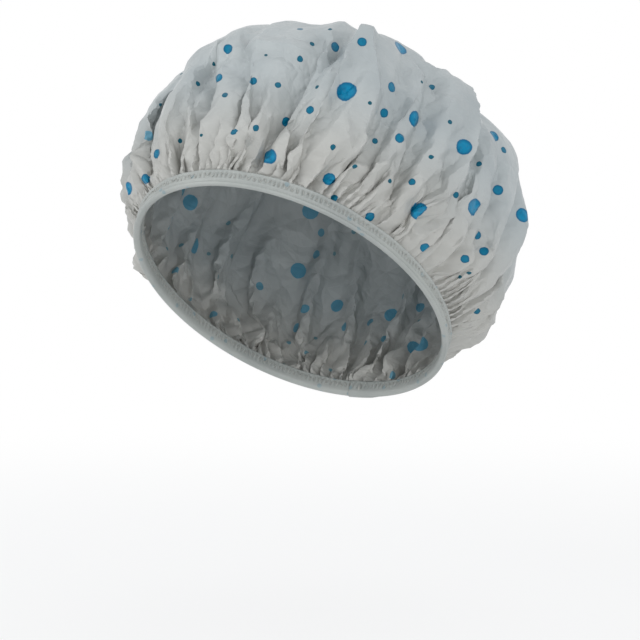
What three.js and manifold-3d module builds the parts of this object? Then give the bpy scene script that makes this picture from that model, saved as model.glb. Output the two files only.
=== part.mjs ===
// Shower cap: a gathered film crown, sewn into a folded hem that holds an elastic band.
// Millimetres, +Z up. The wearer faces -Y, +X is their left, and the origin is the middle of the mouth.
// Every piece is built with the mouth in the XY plane, and the last group tilts the whole cap as it is worn.
import * as THREE from 'three';
import { mergeVertices } from 'three/addons/utils/BufferGeometryUtils.js';
import Module from 'manifold-3d';

const wasm = await Module();
wasm.setup();

const degrees = THREE.MathUtils.degToRad;
const smoothstep = THREE.MathUtils.smoothstep;
const lerp = THREE.MathUtils.lerp;

// Mouth: the ellipse of the hem's inner face, around a 55 cm head
const MOUTH_LENGTH = 194;
const MOUTH_WIDTH = 153;
const HEM_TILT = degrees(36);

// Crown: the widest ring of the puffed film, and its top, both above the mouth
const CROWN_LENGTH = 208;
const CROWN_WIDTH = 201;
const CROWN_SETBACK = 2;
const WIDEST_HEIGHT = 54;
const CROWN_HEIGHT = 135.5;
const SHOULDER = 0.77;
const TOP_ROUNDING = 0.9;
const LEAVING_ANGLE = degrees(22);
const FILM_WALL = 0.6;

// Main folds of the film: gathers that climb from the hem, and single ridges and hollows beside them
const GATHERS = 26;
const GATHER_DEPTH = 5.5;
const GATHER_START = 26;
const GATHER_REACH = 165;
const GATHER_JITTER = 0.3;
const RIDGES = [
  { angle: degrees(25), halfWidth: degrees(11), from: 28, to: 138, rise: 5.5 },
  { angle: degrees(41), halfWidth: degrees(9), from: 30, to: 118, rise: -3 },
  { angle: degrees(68), halfWidth: degrees(12), from: 30, to: 146, rise: 6.5 },
  { angle: degrees(104), halfWidth: degrees(12), from: 12, to: 120, rise: 5 },
  { angle: degrees(123), halfWidth: degrees(19), from: 0, to: 36, rise: 6 },
  { angle: degrees(-20), halfWidth: degrees(11), from: 24, to: 118, rise: 4.5 },
  { angle: degrees(-47), halfWidth: degrees(9), from: 45, to: 130, rise: -3 },
  { angle: degrees(-96), halfWidth: degrees(16), from: 0, to: 36, rise: 6 },
  { angle: degrees(152), halfWidth: degrees(12), from: 24, to: 150, rise: 4.5 },
  { angle: degrees(-131), halfWidth: degrees(12), from: 24, to: 146, rise: 4.5 },
];

// Hem: a strip folded over the film's edge, with the elastic lying inside it
const HEM_HEIGHT = 8.2;
const PLY = 0.4;
const FIT = 0.3;
const ELASTIC_WIDTH = 5;
const ELASTIC_THICKNESS = 0.5;
const ELASTIC_LAP = 15;
const ELASTIC_STEP = 22;

// Stitching: a zigzag row on each face of the hem, and a bar tack through it at the nape
const STITCH_LENGTH = 3;
const STITCH_WIDTH = 2.6;
const STITCH_DROP = 0.8;
const THREAD = 0.36;
const TACK_THREAD = 0.6;
const TACK_WIDTH = 1.6;
const TACK_SPAN = 3.2;

// How finely the round forms are stepped
const FOLD_STEPS = 5;
const LOWER_ROWS = 4;
const UPPER_ROWS = 6;

// Layers of the hem, as distances outward from the mouth
const ELASTIC_INNER = PLY + FIT;
const LAP_OFFSET = ELASTIC_THICKNESS + FIT;
const FILM_INNER = ELASTIC_INNER + LAP_OFFSET + ELASTIC_THICKNESS + FIT;
const FILM_OUTER = FILM_INNER + FILM_WALL;
const OUTER_PLY = FILM_OUTER + FIT;
const HEM_THICKNESS = OUTER_PLY + PLY;
const FOLD_RADIUS = HEM_THICKNESS / 2;

// Heights in the hem, above the mouth
const CHANNEL_FLOOR = FOLD_RADIUS;
const FILM_EXIT = HEM_HEIGHT + FIT;
const ELASTIC_MIDDLE = CHANNEL_FLOOR + ELASTIC_WIDTH / 2;

// Stations round the mouth, one at each gather's crest and hollow, counted from the nape.
// Every piece of the hem turns at the same stations, so that its layers stay the same distance apart.
const STATION_COUNT = 2 * GATHERS;
const STATIONS = Array.from({ length: STATION_COUNT }, (_, index) => index);

function stationAngle(index) {
  const jitter = GATHER_JITTER * Math.sin((2 * Math.PI * 20 * index) / STATION_COUNT + 0.7);
  const start = GATHER_JITTER * Math.sin(0.7);
  return -Math.PI + (2 * Math.PI * (index + jitter - start)) / STATION_COUNT;
}

// A point beside the mouth. The angle runs from the front towards +X, out is square to the mouth's edge.
function stationPoint(angle, out, height) {
  const length = MOUTH_LENGTH / 2;
  const width = MOUTH_WIDTH / 2;
  const normal = new THREE.Vector2(Math.sin(angle) / width, -Math.cos(angle) / length).normalize();
  const x = width * Math.sin(angle) + normal.x * out;
  const y = -length * Math.cos(angle) + normal.y * out;
  return new THREE.Vector3(x, y, height);
}

// A point beside the mouth at a place counted in stations, on the straight run between two of them
function hemPoint(place, out, height) {
  const index = Math.floor(place);
  const near = stationPoint(stationAngle(index), out, height);
  const far = stationPoint(stationAngle(index + 1), out, height);
  return near.lerp(far, place - index);
}

// Distance along the mouth from the nape to each station
function stationDistances() {
  const distances = [0];
  for (let i = 1; i <= STATION_COUNT; i += 1) {
    const run = hemPoint(i - 1, 0, 0).distanceTo(hemPoint(i, 0, 0));
    distances.push(distances[i - 1] + run);
  }
  return distances;
}

const DISTANCES = stationDistances();
const MOUTH_PERIMETER = DISTANCES[STATION_COUNT];

// The place, in stations, at a distance along the mouth. It may run past the nape either way.
function placeAt(distance) {
  const turns = Math.floor(distance / MOUTH_PERIMETER);
  const rest = distance - turns * MOUTH_PERIMETER;
  let index = 0;
  while (index < STATION_COUNT - 1 && DISTANCES[index + 1] < rest) {
    index += 1;
  }
  const part = (rest - DISTANCES[index]) / (DISTANCES[index + 1] - DISTANCES[index]);
  return turns * STATION_COUNT + index + part;
}

// One closed skin over rings of points. Rings run outward-first, so that the faces point out.
function skinRings(rings, closed) {
  const sides = rings[0].length;
  const positions = rings.flat().flatMap((p) => [p.x, p.y, p.z]);
  const faces = [];
  const bands = closed ? rings.length : rings.length - 1;
  for (let i = 0; i < bands; i += 1) {
    const near = i * sides;
    const far = ((i + 1) % rings.length) * sides;
    for (let j = 0; j < sides; j += 1) {
      const next = (j + 1) % sides;
      faces.push(near + j, far + j, far + next);
      faces.push(near + j, far + next, near + next);
    }
  }
  if (!closed) {
    const last = (rings.length - 1) * sides;
    for (let j = 1; j < sides - 1; j += 1) {
      faces.push(0, j, j + 1);
      faces.push(last, last + j + 1, last + j);
    }
  }
  return indexedGeometry(positions, faces);
}

function indexedGeometry(positions, faces) {
  const geometry = new THREE.BufferGeometry();
  geometry.setAttribute('position', new THREE.Float32BufferAttribute(positions, 3));
  geometry.setIndex(faces);
  return geometry;
}

function toSolid(geometry) {
  const bare = geometry.clone();
  bare.deleteAttribute('normal');
  bare.deleteAttribute('uv');
  const merged = mergeVertices(bare, 1e-5);
  const vertProperties = new Float32Array(merged.getAttribute('position').array);
  const triVerts = new Uint32Array(merged.getIndex().array);
  return new wasm.Manifold(new wasm.Mesh({ numProp: 3, vertProperties, triVerts }));
}

function fromSolid(solid) {
  const mesh = solid.getMesh();
  return indexedGeometry(Array.from(mesh.vertProperties), Array.from(mesh.triVerts));
}

// Cuts the two holes that the bar tack's legs pass through
function pierceForTack(geometry) {
  let solid = toSolid(geometry);
  for (const side of [-1, 1]) {
    const leg = new THREE.BoxGeometry(
      TACK_WIDTH + 2 * FIT,
      HEM_THICKNESS + 4 * FIT,
      TACK_THREAD + 2 * FIT,
    );
    const height = ELASTIC_MIDDLE + (side * (TACK_SPAN - TACK_THREAD)) / 2;
    leg.translate(0, MOUTH_LENGTH / 2 + HEM_THICKNESS / 2, height);
    solid = solid.subtract(toSolid(leg));
  }
  return fromSolid(solid);
}

// Rows of the film's smooth form, each with its height, its share of the way out to the widest ring,
// its ring scale above that, and the length of film below it
function crownRows() {
  const rows = [];
  const start = Math.sin(LEAVING_ANGLE);
  for (let i = 0; i <= LOWER_ROWS; i += 1) {
    const turn = lerp(LEAVING_ANGLE, Math.PI / 2, i / LOWER_ROWS);
    const spread = (Math.sin(turn) - start) / (1 - start);
    const climb = 1 - Math.cos(turn) / Math.cos(LEAVING_ANGLE);
    rows.push({ height: lerp(FILM_EXIT, WIDEST_HEIGHT, climb), spread, scale: 1 });
  }
  for (let i = 1; i < UPPER_ROWS; i += 1) {
    const turn = (Math.PI / 2) * (i / UPPER_ROWS);
    const rise = (CROWN_HEIGHT - WIDEST_HEIGHT) * Math.sin(turn) ** TOP_ROUNDING;
    rows.push({ height: WIDEST_HEIGHT + rise, spread: 1, scale: Math.cos(turn) ** SHOULDER });
  }
  let film = 0;
  rows.forEach((row, i) => {
    if (i > 0) {
      film += crownPoint(GATHERS, row).distanceTo(crownPoint(GATHERS, rows[i - 1]));
    }
    row.film = film;
  });
  return rows;
}

function crownPoint(station, row) {
  const angle = stationAngle(station);
  const hem = hemPoint(station, FILM_OUTER, row.height);
  const x = (CROWN_WIDTH / 2) * row.scale * Math.sin(angle);
  const y = CROWN_SETBACK - (CROWN_LENGTH / 2) * row.scale * Math.cos(angle);
  return new THREE.Vector3(lerp(hem.x, x, row.spread), lerp(hem.y, y, row.spread), row.height);
}

// The way that folds stand out of the film: level up to the widest ring, then turning up to the top
function crownOutward(station, row) {
  const angle = stationAngle(station);
  const rise = Math.max(row.height - WIDEST_HEIGHT, 0) / (CROWN_HEIGHT - WIDEST_HEIGHT) ** 2;
  const x = (row.scale * Math.sin(angle)) / (CROWN_WIDTH / 2);
  const y = (-row.scale * Math.cos(angle)) / (CROWN_LENGTH / 2);
  return new THREE.Vector3(x, y, rise).normalize();
}

// How far the film stands out at one gather's crest or hollow
function foldHeight(station, film) {
  const angle = stationAngle(station);
  const crest = station % 2 === 0 ? -1 : 1;
  const strength = 0.72 + 0.28 * Math.sin(2.3 * station + 0.6);
  const grown = smoothstep(film, 0, GATHER_START);
  const faded = 1 - smoothstep(film, GATHER_START, GATHER_REACH);
  let height = (crest * strength * grown * faded * GATHER_DEPTH) / 2;
  for (const ridge of RIDGES) {
    const away = Math.atan2(Math.sin(angle - ridge.angle), Math.cos(angle - ridge.angle));
    const across = Math.max(1 - Math.abs(away) / ridge.halfWidth, 0);
    const middle = (ridge.from + ridge.to) / 2;
    const along = Math.max(1 - Math.abs(film - middle) / (ridge.to - middle), 0);
    height += ridge.rise * across * Math.sqrt(along);
  }
  return height;
}

// The crown: two skins a film apart, joined round the tucked edge and closed at the top
function crownFilm() {
  const rows = crownRows();
  const skin = (depth) => {
    const rings = [STATIONS.map((station) => hemPoint(station, FILM_OUTER - depth, CHANNEL_FLOOR))];
    for (const row of rows) {
      rings.push(STATIONS.map((station) => {
        const out = foldHeight(station, row.film) - depth;
        return crownPoint(station, row).addScaledVector(crownOutward(station, row), out);
      }));
    }
    return rings;
  };
  const outer = skin(0);
  const inner = skin(FILM_WALL);
  const rings = [...inner.reverse(), ...outer];
  const sides = STATION_COUNT;
  const positions = rings.flat().flatMap((p) => [p.x, p.y, p.z]);
  const faces = [];
  for (let i = 0; i < rings.length - 1; i += 1) {
    const near = i * sides;
    const far = near + sides;
    for (let j = 0; j < sides; j += 1) {
      const next = (j + 1) % sides;
      // Both skins are split along the same diagonal, so that they stay a film apart on the folds
      if (i < inner.length) {
        faces.push(near + j, near + next, far + j);
        faces.push(near + next, far + next, far + j);
      } else {
        faces.push(near + j, near + next, far + next);
        faces.push(near + j, far + next, far + j);
      }
    }
  }
  const top = positions.length / 3;
  positions.push(0, CROWN_SETBACK, CROWN_HEIGHT - FILM_WALL);
  positions.push(0, CROWN_SETBACK, CROWN_HEIGHT);
  const last = (rings.length - 1) * sides;
  for (let j = 0; j < sides; j += 1) {
    const next = (j + 1) % sides;
    faces.push(next, j, top);
    faces.push(last + j, last + next, top + 1);
  }
  return pierceForTack(indexedGeometry(positions, faces));
}

// The hem strip: a U of two plies, closed at the mouth and open towards the crown
function hemBinding() {
  const section = [];
  const arc = (radius, from, to) => {
    for (let i = 0; i <= FOLD_STEPS; i += 1) {
      const turn = lerp(from, to, i / FOLD_STEPS);
      section.push([FOLD_RADIUS + radius * Math.cos(turn), FOLD_RADIUS + radius * Math.sin(turn)]);
    }
  };
  section.push([0, HEM_HEIGHT]);
  arc(FOLD_RADIUS, Math.PI, 2 * Math.PI);
  section.push([HEM_THICKNESS, HEM_HEIGHT], [OUTER_PLY, HEM_HEIGHT]);
  arc(FOLD_RADIUS - PLY, 2 * Math.PI, Math.PI);
  section.push([PLY, HEM_HEIGHT]);
  const rings = STATIONS.map((station) => section.map(([out, height]) => hemPoint(station, out, height)));
  return pierceForTack(skinRings(rings, true));
}

// The elastic: one flat strip whose end laps over its start at the nape
function elasticBand() {
  const low = CHANNEL_FLOOR;
  const high = CHANNEL_FLOOR + ELASTIC_WIDTH;
  const lapStart = MOUTH_PERIMETER - ELASTIC_LAP / 2;
  const first = placeAt(-ELASTIC_LAP / 2);
  const last = placeAt(MOUTH_PERIMETER + ELASTIC_LAP / 2);
  const rise = [placeAt(lapStart - ELASTIC_STEP), placeAt(lapStart)];
  const turns = STATIONS.concat(STATIONS.map((station) => station + STATION_COUNT), [-1, -2, -3]);
  const places = turns.concat(rise).filter((place) => place > first && place < last);
  places.push(first, last);
  places.sort((one, other) => one - other);
  const rings = places.map((place) => {
    const lifted = THREE.MathUtils.clamp((place - rise[0]) / (rise[1] - rise[0]), 0, 1);
    const inner = ELASTIC_INNER + LAP_OFFSET * lifted;
    const outer = inner + ELASTIC_THICKNESS;
    return [
      hemPoint(place, inner, high),
      hemPoint(place, inner, low),
      hemPoint(place, outer, low),
      hemPoint(place, outer, high),
    ];
  });
  return pierceForTack(skinRings(rings, false));
}

// A zigzag row of thread on one face of the hem, from one side of the bar tack round to the other
function zigzagThread(out) {
  const margin = TACK_WIDTH / 2 + THREAD + 2 * FIT;
  const stitches = Math.round(MOUTH_PERIMETER / STITCH_LENGTH);
  const top = HEM_HEIGHT - STITCH_DROP;
  const slant = Math.hypot(STITCH_LENGTH / 2, STITCH_WIDTH) / (STITCH_LENGTH / 2);
  const tall = (THREAD / 2) * slant;
  const rings = [];
  for (let i = 0; i <= 2 * stitches; i += 1) {
    const place = placeAt(lerp(margin, MOUTH_PERIMETER - margin, i / (2 * stitches)));
    const height = i % 2 === 0 ? top - STITCH_WIDTH : top;
    rings.push([
      hemPoint(place, out - THREAD / 2, height + tall),
      hemPoint(place, out - THREAD / 2, height - tall),
      hemPoint(place, out + THREAD / 2, height),
    ]);
  }
  return skinRings(rings, false);
}

// The bar tack: a loop of thread through the whole hem, seen from the side as a frame
function elasticTack() {
  const reach = FIT + TACK_THREAD;
  const frame = new THREE.Shape([
    new THREE.Vector2(-reach, -TACK_SPAN / 2),
    new THREE.Vector2(HEM_THICKNESS + reach, -TACK_SPAN / 2),
    new THREE.Vector2(HEM_THICKNESS + reach, TACK_SPAN / 2),
    new THREE.Vector2(-reach, TACK_SPAN / 2),
  ]);
  const inside = TACK_SPAN / 2 - TACK_THREAD;
  frame.holes.push(new THREE.Path([
    new THREE.Vector2(-FIT, -inside),
    new THREE.Vector2(-FIT, inside),
    new THREE.Vector2(HEM_THICKNESS + FIT, inside),
    new THREE.Vector2(HEM_THICKNESS + FIT, -inside),
  ]));
  const geometry = new THREE.ExtrudeGeometry(frame, { depth: TACK_WIDTH, bevelEnabled: false });
  geometry.translate(0, 0, -TACK_WIDTH / 2);
  const outward = new THREE.Vector3(0, 1, 0);
  const upward = new THREE.Vector3(0, 0, 1);
  const along = new THREE.Vector3(1, 0, 0);
  geometry.applyMatrix4(new THREE.Matrix4().makeBasis(outward, upward, along));
  return geometry;
}

const FILM_LOOK = new THREE.MeshStandardMaterial({ color: 0xd5d9dc, roughness: 0.38, metalness: 0 });
const BINDING_LOOK = new THREE.MeshStandardMaterial({ color: 0xd9d9d4, roughness: 0.42, metalness: 0 });
const ELASTIC_LOOK = new THREE.MeshStandardMaterial({ color: 0xf1f0ea, roughness: 0.85, metalness: 0 });
const THREAD_LOOK = new THREE.MeshStandardMaterial({ color: 0xe9e8e2, roughness: 0.7, metalness: 0 });

function piece(name, geometry, look) {
  const mesh = new THREE.Mesh(geometry, look);
  mesh.name = name;
  return mesh;
}

function tackPiece() {
  const tack = piece('elastic_tack', elasticTack(), THREAD_LOOK);
  tack.position.set(0, MOUTH_LENGTH / 2, ELASTIC_MIDDLE);
  return tack;
}

function showerCap() {
  const threadStand = FIT + THREAD / 2;
  const worn = new THREE.Group();
  worn.add(
    piece('crown_film', crownFilm(), FILM_LOOK),
    piece('hem_binding', hemBinding(), BINDING_LOOK),
    piece('elastic_band', elasticBand(), ELASTIC_LOOK),
    tackPiece(),
    piece('needle_thread', zigzagThread(HEM_THICKNESS + threadStand), THREAD_LOOK),
    piece('bobbin_thread', zigzagThread(-threadStand), THREAD_LOOK),
  );
  worn.rotation.x = -HEM_TILT;
  const cap = new THREE.Group();
  cap.add(worn);
  return cap;
}

export default showerCap();
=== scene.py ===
"""Shower cap: a printed film crown gathered into a sewn elastic hem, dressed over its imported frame.

Metres, +Z up. The wearer faces -Y and +X is their left. The origin is the middle of the mouth, whose plane
slopes down to the nape. Every piece is first laid out with the mouth level, then tilted as it is worn.
"""

from __future__ import annotations

import logging
import math
from dataclasses import dataclass, field, replace
from enum import Enum

import bpy
import numpy as np
from mathutils import Matrix, Vector
from mathutils.bvhtree import BVHTree


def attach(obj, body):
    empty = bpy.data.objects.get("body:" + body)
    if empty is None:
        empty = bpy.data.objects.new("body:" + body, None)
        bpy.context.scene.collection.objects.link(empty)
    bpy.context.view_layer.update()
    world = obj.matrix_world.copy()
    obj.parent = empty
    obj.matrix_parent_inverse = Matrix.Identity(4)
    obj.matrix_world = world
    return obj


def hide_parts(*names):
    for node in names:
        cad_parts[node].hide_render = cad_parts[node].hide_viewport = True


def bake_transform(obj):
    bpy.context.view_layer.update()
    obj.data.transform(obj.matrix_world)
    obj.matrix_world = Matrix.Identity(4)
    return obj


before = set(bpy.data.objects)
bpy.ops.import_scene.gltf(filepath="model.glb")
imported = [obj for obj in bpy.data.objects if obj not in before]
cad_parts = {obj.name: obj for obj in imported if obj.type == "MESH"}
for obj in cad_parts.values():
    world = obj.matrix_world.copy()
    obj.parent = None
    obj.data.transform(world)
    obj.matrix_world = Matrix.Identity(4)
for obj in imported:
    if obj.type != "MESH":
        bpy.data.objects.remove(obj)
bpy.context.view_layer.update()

LOG = logging.getLogger("shower_cap")
MM = 0.001
TINY = 1e-9
SMALL = 1e-6
Piece = bpy.types.Object
Node = bpy.types.Node
Socket = bpy.types.NodeSocket
Inputs = dict[str | int, object]


class Body(str, Enum):
    """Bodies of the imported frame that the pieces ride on."""

    CAP = "cap"
    NAPE = "nape"


class Slot(str, Enum):
    """Material slots of the record."""

    FILM = "film"
    BINDING = "binding"
    ELASTIC = "elastic"
    THREAD = "thread"


def smooth_step(value: np.ndarray, low: float, high: float) -> np.ndarray:
    """Eases each value from 0 at low to 1 at high."""
    part = np.clip((value - low) / (high - low), 0.0, 1.0)
    return part * part * (3.0 - 2.0 * part)


def scatter_add(index: np.ndarray, amount: np.ndarray, count: int) -> np.ndarray:
    """Sums vectors, one a row, into the rows that an index names, out of a count of rows."""
    return np.stack([np.bincount(index, amount[:, k], count) for k in range(amount.shape[1])], axis=1)


def distance_round(angle: np.ndarray, turn: np.ndarray | float, ring: np.ndarray) -> np.ndarray:
    """Measures the short way round the dome from a turn to each angle, on rings of the radii given."""
    apart = angle - turn
    return np.arctan2(np.sin(apart), np.cos(apart)) * ring


def tent(away: np.ndarray, slopes: tuple[float, float], unit: float = 1.0) -> np.ndarray:
    """Falls from 1 on a line to 0 at the width of its slope on either side, given in a unit of length."""
    width = np.where(away < 0.0, slopes[0], slopes[1]) * unit
    return np.maximum(1.0 - np.abs(away) / width, 0.0)


@dataclass(frozen=True)
class CapShape:
    """The sizes that all pieces share, and the places on the hem and the crown that follow from them."""

    mouth_length: float = 0.194
    mouth_width: float = 0.153
    tilt: float = math.radians(36)
    hem_height: float = 0.0082
    hem_thickness: float = 0.0036
    film_offset: float = 0.0026
    crown_length: float = 0.207
    crown_width: float = 0.200
    crown_setback: float = 0.002
    widest_height: float = 0.054
    crown_height: float = 0.1355
    shoulder: float = 0.77
    top_rounding: float = 0.9
    leaving_angle: float = math.radians(22)
    hem_samples: int = 4001

    def worn(self, points: np.ndarray) -> np.ndarray:
        """Tilts points laid out on a level mouth as the cap is worn.

        Args:
            points: rows of x, y, z over a level mouth.

        Returns:
            The same points in the row frame.
        """
        cos, sin = math.cos(self.tilt), math.sin(self.tilt)
        turn = np.array([[1, 0, 0], [0, cos, sin], [0, -sin, cos]])
        return points @ turn.T

    def hem(self, angle: np.ndarray, out: np.ndarray, height: np.ndarray) -> np.ndarray:
        """Finds points beside the mouth, with the mouth level.

        Args:
            angle: turn from the front towards +X, in radians.
            out: distance outward from the hem's inner face.
            height: distance above the mouth.

        Returns:
            Rows of x, y, z.
        """
        half_length, half_width = self.mouth_length / 2, self.mouth_width / 2
        normal = np.stack([np.sin(angle) / half_width, -np.cos(angle) / half_length], axis=-1)
        normal /= np.linalg.norm(normal, axis=-1, keepdims=True)
        x = half_width * np.sin(angle) + normal[..., 0] * out
        y = -half_length * np.cos(angle) + normal[..., 1] * out
        return np.stack([x, y, np.broadcast_to(height, x.shape)], axis=-1)

    def perimeter(self) -> float:
        """Measures the hem's inner edge.

        Returns:
            Its length.
        """
        angle = np.linspace(-math.pi, math.pi, self.hem_samples)
        points = self.hem(angle, np.zeros_like(angle), np.zeros_like(angle))
        return float(np.linalg.norm(np.diff(points, axis=0), axis=1).sum())

    def nape(self) -> Vector:
        """Gives the middle of the hem at the nape."""
        return Vector(self.worn(np.array([0.0, self.mouth_length / 2, 0.0])))


SHAPE = CapShape()


@dataclass(frozen=True)
class RippleField:
    """A seeded wandering value over the film, built from a few waves round it and up it."""

    seed: int
    waves_round: int
    waves_up: int
    rise: float = 0.06
    calming: float = 0.25

    def at(self, angle: np.ndarray, film: np.ndarray) -> np.ndarray:
        """Reads the field.

        Args:
            angle: turn round the cap, in radians.
            film: length of film above the hem, in metres.

        Returns:
            Values of about unit spread.
        """
        rng = np.random.default_rng(self.seed)
        total = np.zeros_like(angle)
        power = 0.0
        for turns in range(1, self.waves_round + 1):
            for climb in range(self.waves_up + 1):
                calm = 1.0 + self.calming * climb
                weight = rng.normal() / calm
                phase = rng.uniform(0.0, 2 * math.pi)
                lean = rng.choice([-1.0, 1.0])
                total += weight * np.cos(turns * angle + phase + lean * climb * film / self.rise)
                power += 1.0 / calm**2
        return total / math.sqrt(power)


@dataclass
class FilmPattern:
    """The flat disc that the crown is cut from, as rings of vertices joined by even triangles."""

    radius: float = 0.200
    rings: int = 128
    twist: float = 0.194
    flat: np.ndarray = field(init=False)
    faces: np.ndarray = field(init=False)
    edges: np.ndarray = field(init=False)
    hinges: np.ndarray = field(init=False)

    def __post_init__(self) -> None:
        """Lays out the disc and finds its edges and the corners that face each other across them."""
        self._lay_out()
        self._join()

    def _lay_out(self) -> None:
        """Places six vertices more on each ring than on the ring inside it."""
        points = [np.zeros((1, 2))]
        for ring in range(1, self.rings + 1):
            turn = 2 * math.pi * np.arange(6 * ring) / (6 * ring) + self.twist * ring
            reach = self.radius * ring / self.rings
            points.append(reach * np.stack([np.sin(turn), -np.cos(turn)], axis=1))
        self.flat = np.concatenate(points)
        self.faces = np.array([face for ring in range(1, self.rings + 1) for face in self._band(ring)])

    def _band(self, ring: int) -> list[tuple[int, int, int]]:
        """Joins a ring to the one inside it.

        Args:
            ring: the outer ring's number.

        Returns:
            Triangles whose upper side faces out of the finished cap.
        """
        start = 1 + 3 * ring * (ring - 1)
        if ring == 1:
            return [(0, start + j, start + (j + 1) % 6) for j in range(6)]
        before = 1 + 3 * (ring - 1) * (ring - 2)
        inner_count, outer_count = 6 * (ring - 1), 6 * ring
        inner_turn, outer_turn = 2 * math.pi / inner_count, 2 * math.pi / outer_count
        shift = round(-self.twist / outer_turn)
        inner_at = outer_at = 0
        band = []
        while inner_at < inner_count or outer_at < outer_count:
            inner_next = inner_turn * (inner_at + 0.5)
            outer_next = self.twist + outer_turn * (shift + outer_at + 0.5)
            near = before + inner_at % inner_count
            far = start + (shift + outer_at) % outer_count
            if (outer_next <= inner_next and outer_at < outer_count) or inner_at >= inner_count:
                band.append((near, far, start + (shift + outer_at + 1) % outer_count))
                outer_at += 1
            else:
                band.append((near, far, before + (inner_at + 1) % inner_count))
                inner_at += 1
        return band

    def _join(self) -> None:
        """Lists each edge once, and the two corners that face each other across it."""
        faces = self.faces
        sides = np.concatenate([faces[:, [0, 1]], faces[:, [1, 2]], faces[:, [2, 0]]])
        corner = np.concatenate([faces[:, 2], faces[:, 0], faces[:, 1]])
        sides = np.sort(sides, axis=1)
        key = sides[:, 0] * len(self.flat) + sides[:, 1]
        order = np.argsort(key, kind="stable")
        key, sides, corner = key[order], sides[order], corner[order]
        first = np.flatnonzero(np.concatenate([[True], key[1:] != key[:-1]]))
        second = np.minimum(first + 1, len(key) - 1)
        shared = (key[first] == key[second]) & (first != second)
        self.edges = sides[first]
        self.hinges = np.stack([corner[first][shared], corner[second][shared]], axis=1)

    def reach(self) -> np.ndarray:
        """Gives each vertex's distance from the disc's middle."""
        return np.hypot(self.flat[:, 0], self.flat[:, 1])

    def angle(self) -> np.ndarray:
        """Gives each vertex's turn round the disc, from the front towards +X."""
        return np.arctan2(self.flat[:, 0], -self.flat[:, 1])


@dataclass(frozen=True)
class Fold:
    """One main fold of the film: the line of its crest or hollow, its slopes, height, fade and lean.

    The line goes through places given as degrees from the front towards +X, and millimetres of film above
    the hem, from the top down. The slopes are millimetres wide, on the side away from +X and on the side
    towards it. Past both ends the fold fades out over so many millimetres. The lean is how many millimetres
    the crest hangs over towards +X.
    """

    line: tuple[tuple[float, float], ...]
    slopes: tuple[float, float]
    rise: float
    fade: float = 22.0
    lean: float = 0.0

    def share(self, angle: np.ndarray, film: np.ndarray, ring: np.ndarray) -> np.ndarray:
        """Gives how far each place takes part in the fold.

        Args:
            angle: turn round the cap, in radians.
            film: length of film above the hem, in metres.
            ring: the smooth dome's radius at that film length, in metres.

        Returns:
            Shares from 0 off the fold to 1 on its crest.
        """
        turns = np.radians([place[0] for place in self.line])[::-1]
        marks = np.array([place[1] for place in self.line])[::-1] * MM
        away = distance_round(angle, np.interp(film, marks, turns), ring)
        past = np.maximum(marks[0] - film, film - marks[-1])
        return tent(away, self.slopes, MM) * (1.0 - smooth_step(past, 0.0, self.fade * MM))


@dataclass(frozen=True)
class Crease:
    """One small straight crease: where its middle lies, which way it runs, its slopes, height and lean.

    The middle is given as degrees from the front towards +X, and millimetres of film above the hem. The turn
    is in degrees from straight up towards +X. The half length, the slopes' widths on both sides, the height
    and the lean are in millimetres. The middle share keeps its full height, and the rest fades to the ends.
    """

    angle: float
    film: float
    turn: float
    half_length: float
    slopes: tuple[float, float]
    rise: float
    lean: float = 0.0
    full_share: float = 0.45

    def share(self, angle: np.ndarray, film: np.ndarray, ring: np.ndarray) -> np.ndarray:
        """Gives how far each place takes part in the crease.

        Args:
            angle: turn round the cap, in radians.
            film: length of film above the hem, in metres.
            ring: the smooth dome's radius at that film length, in metres.

        Returns:
            Shares from 0 off the crease to 1 on its line.
        """
        away = distance_round(angle, math.radians(self.angle), ring) / MM
        above = film / MM - self.film
        cos, sin = math.cos(math.radians(self.turn)), math.sin(math.radians(self.turn))
        across = away * cos - above * sin
        along = np.abs(away * sin + above * cos)
        fading = smooth_step(along, self.full_share * self.half_length, self.half_length)
        return tent(across, self.slopes) * (1.0 - fading)


@dataclass(frozen=True)
class CreaseScatter:
    """A seeded scatter of creases over a belt of the crown.

    The belt, the half lengths and the slopes are ranges in millimetres, the steepness is a range of height
    to slope, and the swing spreads their turns, in degrees. With a hang, all are crests that lap over their
    steeper side.
    """

    seed: int
    count: int
    belt: tuple[float, float]
    half_length: tuple[float, float]
    slope: tuple[float, float]
    steepness: tuple[float, float]
    swing: float
    hang: float = 0.0

    def creases(self) -> list[Crease]:
        """Drops the creases.

        Returns:
            The creases, ridges and hollows alike.
        """
        rng = np.random.default_rng(self.seed)
        dropped = []
        for _ in range(self.count):
            slopes = (float(rng.uniform(*self.slope)), float(rng.uniform(*self.slope)))
            rise = min(slopes) * float(rng.uniform(*self.steepness)) * float(rng.choice([-1.0, 1.0]))
            lean = 0.0
            if self.hang:
                rise = max(slopes) * float(rng.uniform(*self.steepness))
                lean = math.copysign(self.hang * rise, slopes[0] - slopes[1])
            dropped.append(Crease(
                angle=float(rng.uniform(-180.0, 180.0)), film=float(rng.uniform(*self.belt)),
                turn=float(rng.normal() * self.swing), half_length=float(rng.uniform(*self.half_length)),
                slopes=slopes, rise=rise, lean=lean,
            ))
        return dropped


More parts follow.
